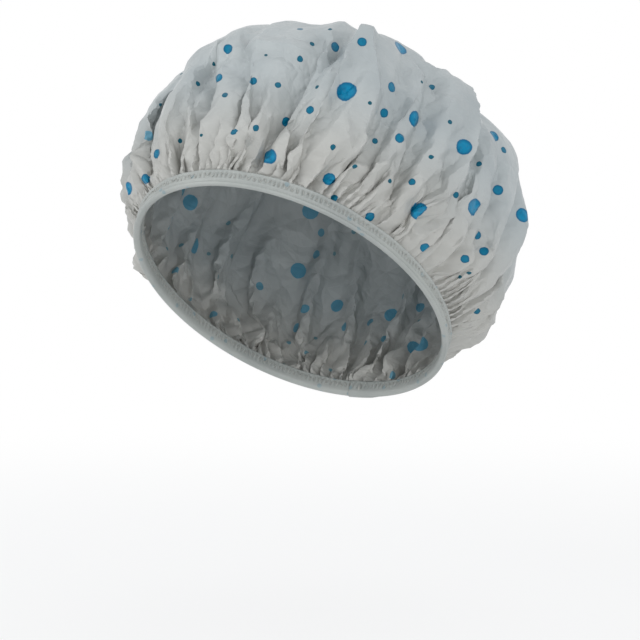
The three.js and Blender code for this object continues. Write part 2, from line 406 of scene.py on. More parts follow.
MAIN_FOLDS = (
    Fold(((28, 91), (27, 78), (27, 58), (26, 40), (25, 24)), (3, 16), 5.2, 14.0, -4.0),
    Fold(((31, 91), (33, 78), (36, 59), (36, 43), (36, 24)), (18, 4), 5.2, 14.0, 2.4),
    Fold(((28, 72), (28, 53), (28, 40), (27, 22)), (9, 9), 3.0, 12.0),
    Fold(((22, 90), (21, 75), (20, 50), (19, 36)), (14, 4), -7.0, 14.0),
    Fold(((19, 150), (18, 124)), (12, 10), 3.5, 14.0),
    Fold(((40, 116), (33, 98)), (22, 24), 3.6, 14.0),
    Fold(((42, 100), (44, 75), (43, 45)), (6, 9), -3.0),
    Fold(((64, 98), (65, 86), (65, 68), (65, 50), (67, 37), (68, 28)), (24, 4), 6.2, 14.0, 5.0),
    Fold(((78, 110), (75, 64), (80, 42)), (6, 10), -3.6),
    Fold(((96, 100), (104, 66), (108, 30)), (20, 20), 5.0),
    Fold(((124, 16), (122, 5)), (30, 34), 5.0, 20.0),
    Fold(((-16, 77), (-19, 62), (-18, 44), (-15, 30)), (20, 3.5), 5.2, 14.0, 3.6),
    Fold(((-11, 74), (-14, 58), (-13, 44), (-11, 36)), (4, 5), -3.2, 12.0),
    Fold(((-2, 67), (2, 45), (4, 26), (8, 16)), (11, 2.4), 2.6, 10.0, 3.0),
    Fold(((-3, 42), (-2, 24), (2, 10)), (9, 2.2), 2.0, 10.0, 2.6),
    Fold(((-36, 60), (-33, 40), (-35, 22)), (3, 10), 2.6, 12.0, -3.2),
    Fold(((-2, 125), (-2, 88)), (26, 24), 2.2, 20.0),
    Fold(((-16, 118), (-18, 88)), (26, 24), 2.8, 20.0),
    Fold(((-70, 26), (-68, 14)), (16, 20), -4.0, 14.0),
    Fold(((-92, 16), (-90, 6)), (30, 16), 12.0, 16.0),
    Fold(((-48, 110), (-46, 60)), (10, 6), -3.5),
    Fold(((-60, 74), (-60, 48)), (24, 14), -4.5, 14.0),
    Fold(((150, 130), (150, 40)), (4, 26), 5.0, 22.0, -4.5),
    Fold(((-128, 125), (-128, 40)), (26, 4), 5.0, 22.0, 4.5),
)
NAMED_CREASES = (
    Crease(2, 76, 90, 34, (12, 3), 3.4),
    Crease(-14, 76, 55, 14, (8, 4), 1.8),
    Crease(52, 92, -38, 18, (4, 6), -2.6),
    Crease(56, 106, 62, 15, (5, 4), 2.2),
    Crease(45, 64, 8, 17, (9, 3), 2.8, 3.6),
    Crease(46, 44, -58, 15, (6, 3), 2.4),
    Crease(46, 27, 8, 14, (4, 4), 2.0),
    Crease(30, 20, 22, 12, (2.5, 5), 1.8),
    Crease(40, 17, 30, 12, (2.5, 4), 1.6),
    Crease(54, 16, 36, 13, (2.5, 4), 1.8),
    Crease(86, 10, 8, 13, (5, 1.4), 2.2, 2.2),
)
SMALL_CREASES = (
    CreaseScatter(71, 220, (4.0, 26.0), (7.0, 18.0), (1.6, 3.6), (0.25, 0.5), 18.0),
    CreaseScatter(74, 170, (7.0, 34.0), (7.0, 22.0), (0.9, 5.0), (0.3, 0.45), 20.0, 0.9),
    CreaseScatter(72, 150, (16.0, 75.0), (10.0, 28.0), (3.0, 9.0), (0.12, 0.26), 32.0),
    CreaseScatter(73, 90, (55.0, 165.0), (14.0, 36.0), (4.0, 12.0), (0.08, 0.18), 50.0),
)


@dataclass(frozen=True)
class PleatBand:
    """Pleats of one width: how far they close up, and the film lengths over which they come in and go out."""

    notch: float
    comes: tuple[float, float] | None = None
    goes: tuple[float, float] | None = None

    def share(self, film: np.ndarray) -> np.ndarray:
        """Gives the share of the spare film that these pleats take up.

        Args:
            film: length of film above the hem, in metres.

        Returns:
            Shares from 0 to 1.
        """
        coming = smooth_step(film, *self.comes) if self.comes else 1.0
        going = smooth_step(film, *self.goes) if self.goes else 0.0
        return coming * (1.0 - going)


@dataclass
class CrownForm:
    """The puffed form of the gathered film: a smooth dome, and the pleats that take up the spare film.

    The pleats hand the spare film on from the fine band at the hem to ever wider ones above it, each of half
    as many pleats as the one before.
    """

    pattern: FilmPattern
    tuck: float = 0.006
    outline_steps: tuple[int, int] = (60, 120)
    first_turn: float = 0.015
    least_ring: float = 0.0001
    pleats: int = 96
    bands: tuple[PleatBand, ...] = (
        PleatBand(0.9, goes=(0.004, 0.030)),
        PleatBand(0.6, (0.002, 0.022), (0.026, 0.064)),
        PleatBand(0.42, (0.018, 0.050), (0.060, 0.115)),
        PleatBand(0.32, comes=(0.055, 0.100)),
    )
    wander: float = 3.0
    drifts: tuple[tuple[float, RippleField], ...] = (
        (2.2, RippleField(11, 9, 2)),
        (1.0, RippleField(12, 22, 2)),
    )
    swell_seed: int = 21
    slip_seed: int = 31
    tip_seed: int = 41
    swelling: float = 0.4
    swell_limits: tuple[float, float] = (0.15, 1.7)
    slipping: float = 0.9
    crest_sharpness: float = 0.995
    crest_share: float = 0.3
    tipping: float = 0.9
    free_height: float = 0.0015
    least_free: float = 0.25
    fold_start: tuple[float, float] = (0.002, 0.010)
    base: np.ndarray = field(init=False)
    outward: np.ndarray = field(init=False)
    film: np.ndarray = field(init=False)
    ring: np.ndarray = field(init=False)
    tucked: np.ndarray = field(init=False)

    def __post_init__(self) -> None:
        """Works out the dome's outline from hem to top, and every vertex's place on it."""
        self._outline()
        self._dome()

    def _outline(self) -> None:
        """Draws the dome's outline: out from the hem to the widest ring, then over to the top."""
        shape = SHAPE
        low_steps, top_steps = self.outline_steps
        turn = np.linspace(shape.leaving_angle, math.pi / 2, low_steps)
        start = math.sin(shape.leaving_angle)
        spread = (np.sin(turn) - start) / (1.0 - start)
        climb = 1.0 - np.cos(turn) / math.cos(shape.leaving_angle)
        low = shape.hem_height + (shape.widest_height - shape.hem_height) * climb
        over = np.linspace(self.first_turn, math.pi / 2, top_steps)
        high = shape.crown_height - shape.widest_height
        top = shape.widest_height + high * np.sin(over) ** shape.top_rounding
        self.spread = np.concatenate([spread, np.ones_like(over)])
        self.scale = np.concatenate([np.ones_like(turn), np.maximum(np.cos(over), 0.0) ** shape.shoulder])
        self.rise = np.concatenate([low, top])
        mouth = (shape.mouth_length + shape.mouth_width) / 4 + shape.film_offset
        crown = (shape.crown_length + shape.crown_width) / 4
        reach = (mouth + (crown - mouth) * self.spread) * self.scale
        run = np.hypot(np.diff(reach), np.diff(self.rise))
        self.run = np.concatenate([[0.0], np.cumsum(run)])
        self.reach = reach

    def _dome(self) -> None:
        """Places every vertex on the smooth dome, with the way that folds stand out of it."""
        shape, pattern = SHAPE, self.pattern
        angle = pattern.angle()
        spare = pattern.radius - self.tuck
        along = (spare - pattern.reach()) * self.run[-1] / spare
        film = np.clip(along, 0.0, self.run[-1])
        spread = np.interp(film, self.run, self.spread)
        scale = np.interp(film, self.run, self.scale)
        rise = np.interp(film, self.run, self.rise)
        rise = np.where(along < 0.0, shape.hem_height + along, rise)
        hem = shape.hem(angle, np.full_like(angle, shape.film_offset), rise)
        x = shape.crown_width / 2 * np.sin(angle)
        y = -shape.crown_length / 2 * np.cos(angle)
        plan = hem[:, :2] * (1.0 - spread)[:, None] + np.stack([x, y], axis=1) * spread[:, None]
        plan = plan * scale[:, None]
        plan[:, 1] += shape.crown_setback * spread
        self.base = np.column_stack([plan, rise])
        lift = np.maximum(rise - shape.widest_height, 0.0) / (shape.crown_height - shape.widest_height) ** 2
        level = np.stack([x / (shape.crown_width / 2) ** 2, y / (shape.crown_length / 2) ** 2], axis=1)
        out = np.column_stack([level * scale[:, None], lift])
        self.outward = out / np.maximum(np.linalg.norm(out, axis=1, keepdims=True), TINY)
        self.film = film
        self.ring = np.interp(film, self.run, self.reach)
        self.tucked = along < 0.0

    def gathered(self) -> np.ndarray:
        """Stands the pleats on the dome.

        Returns:
            The gathered film, with the mouth level.
        """
        angle, film, ring = self.pattern.angle(), self.film, self.ring
        spare = self.pattern.radius - self.tuck
        excess = np.maximum((spare - film * spare / self.run[-1]) / np.maximum(ring, self.least_ring), 1.0)
        drift = sum(weight * ripple.at(angle, film) for weight, ripple in self.drifts)
        shares = [band.share(film) for band in self.bands]
        whole = np.sqrt(sum(share**2 for share in shares)) + TINY
        height = np.zeros_like(film)
        aside = np.zeros_like(film)
        for octave, (share, band) in enumerate(zip(shares, self.bands)):
            count, notch = self.pleats >> octave, band.notch
            swell = 1.0 + self.swelling * RippleField(self.swell_seed + octave, count // 3, 2).at(angle, film)
            slip = self.slipping * RippleField(self.slip_seed + octave, count // 5 + 3, 2).at(angle, film)
            phase = count * angle + self.wander * drift / 2**octave + slip
            share = share / whole
            pitch = 2 * math.pi * ring / count
            crest = 0.5 + np.arcsin(self.crest_sharpness * np.sin(phase)) / math.pi
            sunk = 1.0 - (1.0 - notch) / excess
            depth = np.sqrt(np.maximum((excess * sunk) ** 2 - notch**2, 0.0)) / 2 * pitch * share
            hollow = depth * np.clip(swell, *self.swell_limits) * np.maximum(1.0 - crest / sunk, 0.0)
            height += self.crest_share * depth - hollow
            plate = notch + (crest - sunk) * (1.0 - notch) / np.maximum(1.0 - sunk, SMALL)
            spread = np.where(crest < sunk, crest * notch / sunk, plate) - crest
            tip = np.clip(RippleField(self.tip_seed + octave, count // 6 + 2, 1).at(angle, film), -1.0, 1.0)
            aside += np.sign(np.cos(phase)) * spread / 2 * pitch * share + self.tipping * tip * hollow
        free = np.clip(film / self.free_height, self.least_free, 1.0)
        lifted = self.base + self.outward * (height * free)[:, None]
        return lifted + self._sideways() * (aside * free)[:, None]

    def folded(self, points: np.ndarray) -> np.ndarray:
        """Lifts the main folds and the small creases out of the film.

        Args:
            points: the film, with the mouth level.

        Returns:
            The folded film.
        """
        angle, film = self.pattern.angle(), self.film
        small = [crease for scatter in SMALL_CREASES for crease in scatter.creases()]
        height = np.zeros_like(film)
        aside = np.zeros_like(film)
        for fold in (*MAIN_FOLDS, *NAMED_CREASES, *small):
            share = fold.share(angle, film, self.ring) * MM
            height += fold.rise * share
            aside += fold.lean * share
        clear = smooth_step(film, *self.fold_start)[:, None]
        return points + (self.outward * height[:, None] + self._sideways() * aside[:, None]) * clear

    def _sideways(self) -> np.ndarray:
        """Gives each vertex's way round the dome, towards +X."""
        angle = self.pattern.angle()
        return np.stack([np.cos(angle), np.sin(angle), np.zeros_like(angle)], axis=1)


@dataclass
class FilmRelaxer:
    """Lets the gathered film settle: it keeps its cut lengths, and prefers flat facets with sharp creases."""

    form: CrownForm
    steps: int
    hold: float
    passes: int = 3
    eagerness: float = 1.5
    stiffness: float = 0.9
    crease: float = 0.012
    drag: float = 0.8
    top_speed: float = 0.0006
    puff: float = 0.0
    play: float = 0.001
    inward: float = 0.010
    outward: float = 0.012
    full_room: float = 0.012
    give: float = 0.5

    def settle(self, points: np.ndarray) -> np.ndarray:
        """Runs the simulation.

        Args:
            points: the gathered film.

        Returns:
            The settled film.
        """
        pattern, form = self.form.pattern, self.form
        flat = np.column_stack([pattern.flat, np.zeros(len(pattern.flat))])
        edges, hinges = pattern.edges, pattern.hinges
        length = np.linalg.norm(flat[edges[:, 1]] - flat[edges[:, 0]], axis=1)
        opening = np.linalg.norm(flat[hinges[:, 1]] - flat[hinges[:, 0]], axis=1)
        weight = self.eagerness / np.bincount(edges.ravel(), minlength=len(flat))[:, None]
        weight[form.tucked] = 0.0
        hung = points
        speed = np.zeros_like(points)
        for _ in range(self.steps):
            before = points
            points = points + speed * self.drag + form.outward * self.puff
            for _ in range(self.passes):
                shift = self._pull(points, edges, length, np.ones(len(edges)))
                span = np.linalg.norm(points[hinges[:, 1]] - points[hinges[:, 0]], axis=1)
                bend = np.clip(1.0 - span / opening, 0.0, 1.0)
                grip = self.stiffness * self.crease / (self.crease + bend)
                shift += self._pull(points, hinges, opening, grip)
                points = points + shift * weight
            points = points + (hung - points) * self.hold
            points = self._kept(points)
            speed = points - before
            pace = np.linalg.norm(speed, axis=1, keepdims=True)
            speed = speed * np.minimum(1.0, self.top_speed / (pace + 1e-12))
        return points

    def _kept(self, points: np.ndarray) -> np.ndarray:
        """Keeps the film between the room left free under it and the puffed outline.

        Args:
            points: the film.

        Returns:
            The film, brought part of the way back where it strays.
        """
        form = self.form
        away = ((points - form.base) * form.outward).sum(axis=1)
        room = smooth_step(form.film, 0.0, self.full_room)
        kept = np.clip(away, -(self.play + self.inward * room), self.play + self.outward * room)
        return points + form.outward * ((kept - away) * self.give)[:, None]

    @staticmethod
    def _pull(points: np.ndarray, pairs: np.ndarray, rest: np.ndarray, grip: np.ndarray) -> np.ndarray:
        """Moves pairs of points towards their rest distance.

        Args:
            points: the film.
            pairs: index pairs.
            rest: the distance that each pair keeps.
            grip: how strongly each pair keeps it.

        Returns:
            The summed shift of every point.
        """
        apart = points[pairs[:, 1]] - points[pairs[:, 0]]
        gap = np.linalg.norm(apart, axis=1)
        move = apart * (0.5 * grip * (gap - rest) / (gap + TINY))[:, None]
        count = len(points)
        return scatter_add(pairs[:, 0], move, count) - scatter_add(pairs[:, 1], move, count)


def carried(coarse: FilmPattern, places: np.ndarray, fine: FilmPattern) -> np.ndarray:
    """Carries a settled coarse film over to a finer cut of the same disc.

    Args:
        coarse: the coarse cut.
        places: its settled places.
        fine: the finer cut.

    Returns:
        The finer cut's places, flat over every coarse face.
    """
    level = np.zeros((len(coarse.flat), 1))
    tree = BVHTree.FromPolygons(np.hstack([coarse.flat, level]).tolist(), coarse.faces.tolist())
    under = np.array([tree.find_nearest((x, y, 0.0))[2] for x, y in fine.flat])
    corners = coarse.faces[under]
    first, second, third = (coarse.flat[corners[:, k]] for k in range(3))
    whole = np.cross(second - first, third - first)
    facing = ((second, third), (third, first), (first, second))
    shares = np.stack([np.cross(a - fine.flat, b - fine.flat) / whole for a, b in facing], axis=1)
    return (places[corners] * shares[:, :, None]).sum(axis=1)


class Bench:
    """Short forms of the operators that every piece uses, with the selection cleared first."""

    @staticmethod
    def pick(piece: Piece) -> None:
        """Selects one piece alone and makes it active.

        Args:
            piece: the piece.
        """
        bpy.ops.object.select_all(action="DESELECT")
        piece.select_set(True)
        bpy.context.view_layer.objects.active = piece

    @staticmethod
    def apply(piece: Piece, kind: str, **settings: object) -> None:
        """Adds one modifier to a piece and applies it.

        Args:
            piece: the piece to change.
            kind: the modifier's type.
            settings: the modifier's values by name.
        """
        Bench.pick(piece)
        modifier = piece.modifiers.new(kind.lower(), kind)
        for name, value in settings.items():
            setattr(modifier, name, value)
        bpy.ops.object.modifier_apply(modifier=modifier.name)

    @staticmethod
    def places(piece: Piece) -> np.ndarray:
        """Reads where a piece's vertices are.

        Args:
            piece: the piece.

        Returns:
            Rows of x, y, z.
        """
        places = np.empty(3 * len(piece.data.vertices), np.float32)
        piece.data.vertices.foreach_get("co", places)
        return places.reshape(-1, 3).astype(float)

    @staticmethod
    def reshape(piece: Piece, places: np.ndarray) -> None:
        """Moves a piece's vertices to new places."""
        piece.data.vertices.foreach_set("co", places.astype(np.float32).ravel())
        piece.data.update()

    @staticmethod
    def named(name: str) -> Piece:
        """Names the primitive that was just added.

        Args:
            name: the name of the piece and its mesh.

        Returns:
            The piece.
        """
        piece = bpy.context.object
        piece.name = name
        piece.data.name = name
        return piece

    @staticmethod
    def strip(name: str, steps_long: int, steps_wide: int) -> Piece:
        """Adds a flat strip of unit length and width, with its unit coordinates kept as a UV map.

        Args:
            name: the piece's name.
            steps_long: faces along X.
            steps_wide: faces along Y.

        Returns:
            The strip, from 0 to 1 both ways.
        """
        bpy.ops.object.select_all(action="DESELECT")
        bpy.ops.mesh.primitive_grid_add(
            x_subdivisions=steps_long, y_subdivisions=steps_wide, size=1.0, calc_uvs=True
        )
        strip = Bench.named(name)
        strip.data.uv_layers[0].name = "cut"
        Bench.reshape(strip, Bench.places(strip) + np.array([0.5, 0.5, 0.0]))
        return strip

    @staticmethod
    def path(name: str, corners: np.ndarray) -> Piece:
        """Draws a run of edges by extruding one vertex from corner to corner.

        Args:
            name: the piece's name.
            corners: the places to go through.

        Returns:
            A piece of edges alone.
        """
        bpy.ops.object.select_all(action="DESELECT")
        bpy.ops.mesh.primitive_plane_add(size=MM, location=tuple(corners[0]))
        path = Bench.named(name)
        bpy.ops.object.transform_apply(location=True, rotation=True, scale=True)
        bpy.ops.object.mode_set(mode="EDIT")
        bpy.ops.mesh.select_all(action="SELECT")
        bpy.ops.mesh.merge(type="CENTER")
        for step in np.diff(corners, axis=0):
            bpy.ops.mesh.extrude_region_move(TRANSFORM_OT_translate={"value": tuple(step)})
        bpy.ops.object.mode_set(mode="OBJECT")
        return path

    @staticmethod
    def thicken(path: Piece, radius: float, roundness: int = 1) -> None:
        """Turns a run of edges into a round thread.

        Args:
            path: the piece of edges.
            radius: the thread's radius.
            roundness: how finely it is rounded.
        """
        Bench.pick(path)
        bpy.ops.object.convert(target="CURVE")
        path.data.bevel_depth = radius
        path.data.bevel_resolution = roundness
        path.data.use_fill_caps = True
        Bench.pick(path)
        bpy.ops.object.convert(target="MESH")
        bpy.ops.object.shade_smooth()


def smooth_path(corners: np.ndarray, count: int, fineness: int = 12) -> np.ndarray:
    """Draws a smooth run through corners, at even steps.

    Args:
        corners: rows of places to go through.
        count: the number of points wanted.
        fineness: how many steps the run is measured in between two corners.

    Returns:
        Points along the run.
    """
    ends = np.vstack([2 * corners[0] - corners[1], corners, 2 * corners[-1] - corners[-2]])
    part = np.linspace(0.0, 1.0, fineness, endpoint=False)[:, None]
    run = []
    for before, start, end, after in zip(ends, ends[1:], ends[2:], ends[3:]):
        first = 2 * start + (end - before) * part
        second = (2 * before - 5 * start + 4 * end - after) * part**2
        third = (3 * start - before - 3 * end + after) * part**3
        run.append((first + second + third) / 2)
    fine = np.vstack([*run, corners[-1:]])
    length = np.concatenate([[0.0], np.cumsum(np.linalg.norm(np.diff(fine, axis=0), axis=1))])
    marks = np.linspace(0.0, length[-1], count)
    return np.stack([np.interp(marks, length, fine[:, k]) for k in range(fine.shape[1])], axis=1)


@dataclass
class HemRun:
    """Turns distances along the hem into places beside it."""

    angles: np.ndarray = field(init=False)
    distances: np.ndarray = field(init=False)

    def __post_init__(self) -> None:
        """Measures the hem's inner edge from the nape, twice round, so that laps may run past it."""
        self.angles = np.linspace(-2 * math.pi, 2 * math.pi, 2 * SHAPE.hem_samples)
        zero = np.zeros_like(self.angles)
        points = SHAPE.hem(self.angles, zero, zero)
        steps = np.linalg.norm(np.diff(points, axis=0), axis=1)
        run = np.concatenate([[0.0], np.cumsum(steps)])
        self.distances = run - np.interp(-math.pi, self.angles, run)

    def place(self, distance: np.ndarray, out: np.ndarray, height: np.ndarray) -> np.ndarray:
        """Finds places as worn: by distance from the nape towards -X, out of the inner face, and height."""
        angle = np.interp(distance, self.distances, self.angles)
        return SHAPE.worn(SHAPE.hem(angle, out, height))


HEM = HemRun()
HEM_LENGTH = SHAPE.perimeter()


@dataclass(frozen=True)
class Dot:
    """One printed dot: its middle on the flat disc and on the cap, its radius, and its tone, bright to deep.

    Its depth is how much a step along the line of sight counts, so that a dot that is seen keeps its shape.
    """

    x: float
    y: float
    place: tuple[float, ...]
    radius: float
    tone: float
    depth: float = 1.0


@dataclass(frozen=True)
class SeenDot:
    """One dot that the picture shows: its place in pixels, and its radius on the film in millimetres."""

    across: float
    down: float
    radius: float


SEEN_DOTS = (
    SeenDot(228, 49, 2.5), SeenDot(214, 64, 1.0), SeenDot(218, 78, 2.5), SeenDot(198, 84, 1.3),
    SeenDot(181, 74, 0.9), SeenDot(225, 95, 1.5), SeenDot(253, 81, 2.0), SeenDot(278, 85, 1.6),
    SeenDot(300, 59, 1.6), SeenDot(266, 55, 0.8), SeenDot(312, 44, 1.3), SeenDot(300, 29, 1.6),
    SeenDot(330, 29, 1.1), SeenDot(335, 47, 2.5), SeenDot(362, 42, 2.4), SeenDot(400, 48, 4.0),
    SeenDot(347, 92, 5.1), SeenDot(392, 87, 2.5), SeenDot(432, 87, 1.6), SeenDot(422, 82, 0.8),
    SeenDot(450, 122, 1.2), SeenDot(464, 147, 4.1), SeenDot(416, 119, 4.1), SeenDot(400, 138, 2.4),
    SeenDot(384, 113, 2.3), SeenDot(370, 103, 1.0), SeenDot(375, 141, 1.5), SeenDot(431, 157, 1.2),
    SeenDot(479, 164, 1.5), SeenDot(494, 136, 3.0), SeenDot(504, 150, 1.8), SeenDot(498, 190, 2.7),
    SeenDot(474, 207, 4.4), SeenDot(456, 195, 1.6), SeenDot(523, 215, 3.9), SeenDot(419, 211, 4.4),
    SeenDot(412, 182, 1.8), SeenDot(390, 181, 1.1), SeenDot(355, 167, 1.3), SeenDot(333, 147, 1.4),
    SeenDot(310, 110, 2.0), SeenDot(286, 122, 2.4), SeenDot(256, 128, 1.6), SeenDot(234, 132, 1.8),
    SeenDot(269, 157, 4.1), SeenDot(157, 154, 2.5), SeenDot(180, 141, 1.2), SeenDot(201, 135, 0.8),
    SeenDot(148, 136, 2.8), SeenDot(161, 105, 1.1), SeenDot(145, 179, 2.8), SeenDot(127, 189, 3.7),
    SeenDot(329, 179, 3.1), SeenDot(334, 198, 1.8), SeenDot(370, 217, 2.5), SeenDot(425, 248, 2.4),
    SeenDot(477, 235, 2.3), SeenDot(484, 251, 2.4), SeenDot(465, 259, 2.2), SeenDot(469, 273, 1.1),
    SeenDot(460, 277, 1.1), SeenDot(477, 311, 1.7), SeenDot(317, 87, 1.1),
)


@dataclass
class DotPrint:
    """The print: dots in a few sizes, where the picture shows them, and a like scatter over the rest."""

    pattern: FilmPattern
    places: np.ndarray
    studio: Studio
    seed: int = 5
    gap: float = 0.006
    sizes: tuple[float, ...] = (0.0044, 0.0026, 0.0014)
    counts: tuple[int, ...] = (56, 120, 150)
    unevenness: tuple[float, float] = (0.85, 1.12)
    tones: tuple[tuple[float, ...], ...] = ((0.0010, 0.0020, 0.0036), (1.0, 0.45, 0.0))
    clearance: float = 0.004
    seen_depth: float = 0.6
    rim_places: int = 8
    tree: BVHTree = field(init=False)

    def __post_init__(self) -> None:
        """Makes the film ready for rays."""
        self.tree = BVHTree.FromPolygons(self.places.tolist(), self.pattern.faces.tolist())

    def dots(self) -> list[Dot]:
        """Places the dots that are seen, then drops the others one by one, each clear of those already down.

        Returns:
            The dots.
        """
        dots = [dot for dot in map(self._seen_dot, SEEN_DOTS) if dot]
        rng = np.random.default_rng(self.seed)
        for size, count in zip(self.sizes, self.counts):
            for _ in range(count):
                spread = self.pattern.radius * math.sqrt(rng.uniform())
                turn = rng.uniform(0.0, 2 * math.pi)
                radius = size * rng.uniform(*self.unevenness)
                x, y = spread * math.sin(turn), -spread * math.cos(turn)
                dot = self._dot(x, y, self._place(x, y), radius)
                if self._clear(dot, dots) and not self._in_view(dot):
                    dots.append(dot)
        return dots

    def _clear(self, dot: Dot, others: list[Dot]) -> bool:
        """Tells whether a dot keeps the gap to all others on the flat disc."""
        return all(math.hypot(dot.x - other.x, dot.y - other.y) > dot.radius + other.radius + self.gap
                   for other in others)

    def _dot(self, x: float, y: float, place: Vector, radius: float) -> Dot:
        """Makes a dot, smaller ones deeper in tone."""
        return Dot(x, y, tuple(place), radius, float(np.interp(radius, *self.tones)))

    def _place(self, x: float, y: float) -> Vector:
        """Finds where a place of the flat disc lies on the cap."""
        nearest = np.hypot(self.pattern.flat[:, 0] - x, self.pattern.flat[:, 1] - y).argmin()
        return Vector(self.places[nearest])

    def _seen_dot(self, seen: SeenDot) -> Dot | None:
        """Finds where on the flat disc a dot of the picture lies.

        Args:
            seen: the dot in the picture.

        Returns:
            The dot, or nothing where the picture's ray passes the film.
        """
        origin, ray = self.studio.ray(seen.across, seen.down)
        place, _, face, _ = self.tree.ray_cast(origin, ray)
        if place is None:
            return None
        corners = self.pattern.faces[face]
        apart = np.linalg.norm(self.places[corners] - np.array(place), axis=1)
        share = 1.0 / (apart + SMALL)
        x, y = (self.pattern.flat[corners] * (share / share.sum())[:, None]).sum(axis=0)
        return replace(self._dot(float(x), float(y), place, seen.radius * MM), depth=self.seen_depth)

    def _in_view(self, dot: Dot) -> bool:
        """Tells whether the camera sees a dot, or a part of it.

        Args:
            dot: the dot.

        Returns:
            Whether its middle or a place on its rim is seen from outside.
        """
        turns = np.linspace(0.0, 2 * math.pi, self.rim_places, endpoint=False)
        rim = [self._place(dot.x + dot.radius * math.sin(turn), dot.y + dot.radius * math.cos(turn))
               for turn in turns]
        return any(self._sees(place) for place in (Vector(dot.place), *rim))

    def _sees(self, place: Vector) -> bool:
        """Tells whether the camera sees a place of the film from outside.

        Args:
            place: the place.

        Returns:
            Whether its line of sight meets the film's outer side, and no nearer than that place.
        """
        origin, _ = self.studio.ray(0.0, 0.0)
        ray = (place - origin).normalized()
        _, normal, _, reach = self.tree.ray_cast(origin, ray)
        if reach is None:
            return True
        return normal.dot(ray) < 0.0 and reach > (place - origin).length - self.clearance


@dataclass
class Crown:
    """The crown: one printed disc of film, gathered and puffed, with its edge tucked into the hem."""

    studio: Studio
    pattern: FilmPattern = field(default_factory=FilmPattern)
    rough_rings: int = 38
    plate_start: tuple[float, float] = (0.010, 0.034)
    wall: float = 0.00012
    wrap: float = 8.0
    crisp: float = math.radians(22)
    far: float = 1.0
    block: int = 2048

    def build(self) -> Piece:
        """Gathers the flat disc, lets it settle, prints it and gives it its thickness.

        Returns:
            The crown film.
        """
        form = CrownForm(self.pattern)
        points = form.gathered()
        rough = CrownForm(FilmPattern(rings=self.rough_rings))
        plates = FilmRelaxer(rough, steps=140, hold=0.015, puff=0.00003).settle(rough.gathered())
        plates = carried(rough.pattern, plates, self.pattern)
        points += (plates - points) * smooth_step(form.film, *self.plate_start)[:, None]
        points = FilmRelaxer(form, steps=7, hold=0.2, stiffness=0.45, top_speed=0.0003).settle(points)
        points = form.folded(points)
        places = SHAPE.worn(points)
        mesh = bpy.data.meshes.new("crown_film_sheet")
        mesh.from_pydata(places.tolist(), [], self.pattern.faces.tolist())
        mesh.update()
        film = bpy.data.objects.new("crown_film_sheet", mesh)
        bpy.context.scene.collection.objects.link(film)
        self._print(mesh, places, DotPrint(self.pattern, places, self.studio).dots())
        Bench.pick(film)
        bpy.ops.object.shade_smooth()
        mesh.set_sharp_from_angle(angle=self.crisp)
        mesh.materials.append(None)
        mesh.materials.append(None)
        Bench.apply(film, "SOLIDIFY", thickness=self.wall, offset=-1.0, material_offset=1)
        return film

    def _print(self, mesh: bpy.types.Mesh, places: np.ndarray, dots: list[Dot]) -> None:
        """Keeps the flat cut as one UV map, and each face's place on its nearest dot as another.

        The nearest dot is picked by distance on the gathered cap, among those whose middle lies within a few
        radii on the flat disc. How far out on the dot a corner lies is its distance on the cap too, where a
        step along the line of sight counts for less on a dot that is seen.

        Args:
            mesh: the film.
            places: its vertices.
            dots: the print.
        """
        flat, faces = self.pattern.flat, self.pattern.faces
        corners = flat[faces]
        cut = mesh.uv_layers.new(name="cut")
        cut.data.foreach_set("uv", corners.reshape(-1).astype(np.float32))
        middles = np.array([(dot.x, dot.y) for dot in dots])
        radii = np.array([dot.radius for dot in dots])
        tones = np.array([dot.tone for dot in dots])
        marks = np.array([dot.place for dot in dots])
        centres = corners.mean(axis=1)
        solid = places[faces].mean(axis=1)
        nearest = np.empty(len(faces), int)
        for start in range(0, len(faces), self.block):
            part = slice(start, start + self.block)
            apart = np.linalg.norm(centres[part, None, :] - middles[None, :, :], axis=2)
            away = np.linalg.norm(solid[part, None, :] - marks[None, :, :], axis=2)
            reach = np.where(apart < self.wrap * radii, away, apart + self.far)
            nearest[part] = (reach - radii).argmin(axis=1)
        radius = radii[nearest][:, None, None]
        onto = (corners - middles[nearest][:, None, :]) / radius
        span = np.linalg.norm(onto, axis=2, keepdims=True)
        sight = marks - np.array(self.studio.stand()[0])
        sight /= np.linalg.norm(sight, axis=1, keepdims=True)
        sight *= np.sqrt(1.0 - np.array([dot.depth for dot in dots]) ** 2)[:, None]
        step = places[faces] - marks[nearest][:, None, :]
        along = (step * sight[nearest][:, None, :]).sum(axis=2, keepdims=True)
        gap = np.sqrt((step * step).sum(axis=2, keepdims=True) - along * along) / radius
        onto = np.where(span.min(axis=1, keepdims=True) > self.wrap, onto, onto * gap / (span + SMALL))
        printed = mesh.uv_layers.new(name="print")
        printed.data.foreach_set("uv", onto.reshape(-1).astype(np.float32))
        tone = mesh.attributes.new("tone", "FLOAT", "FACE")
        tone.data.foreach_set("value", tones[nearest].astype(np.float32))


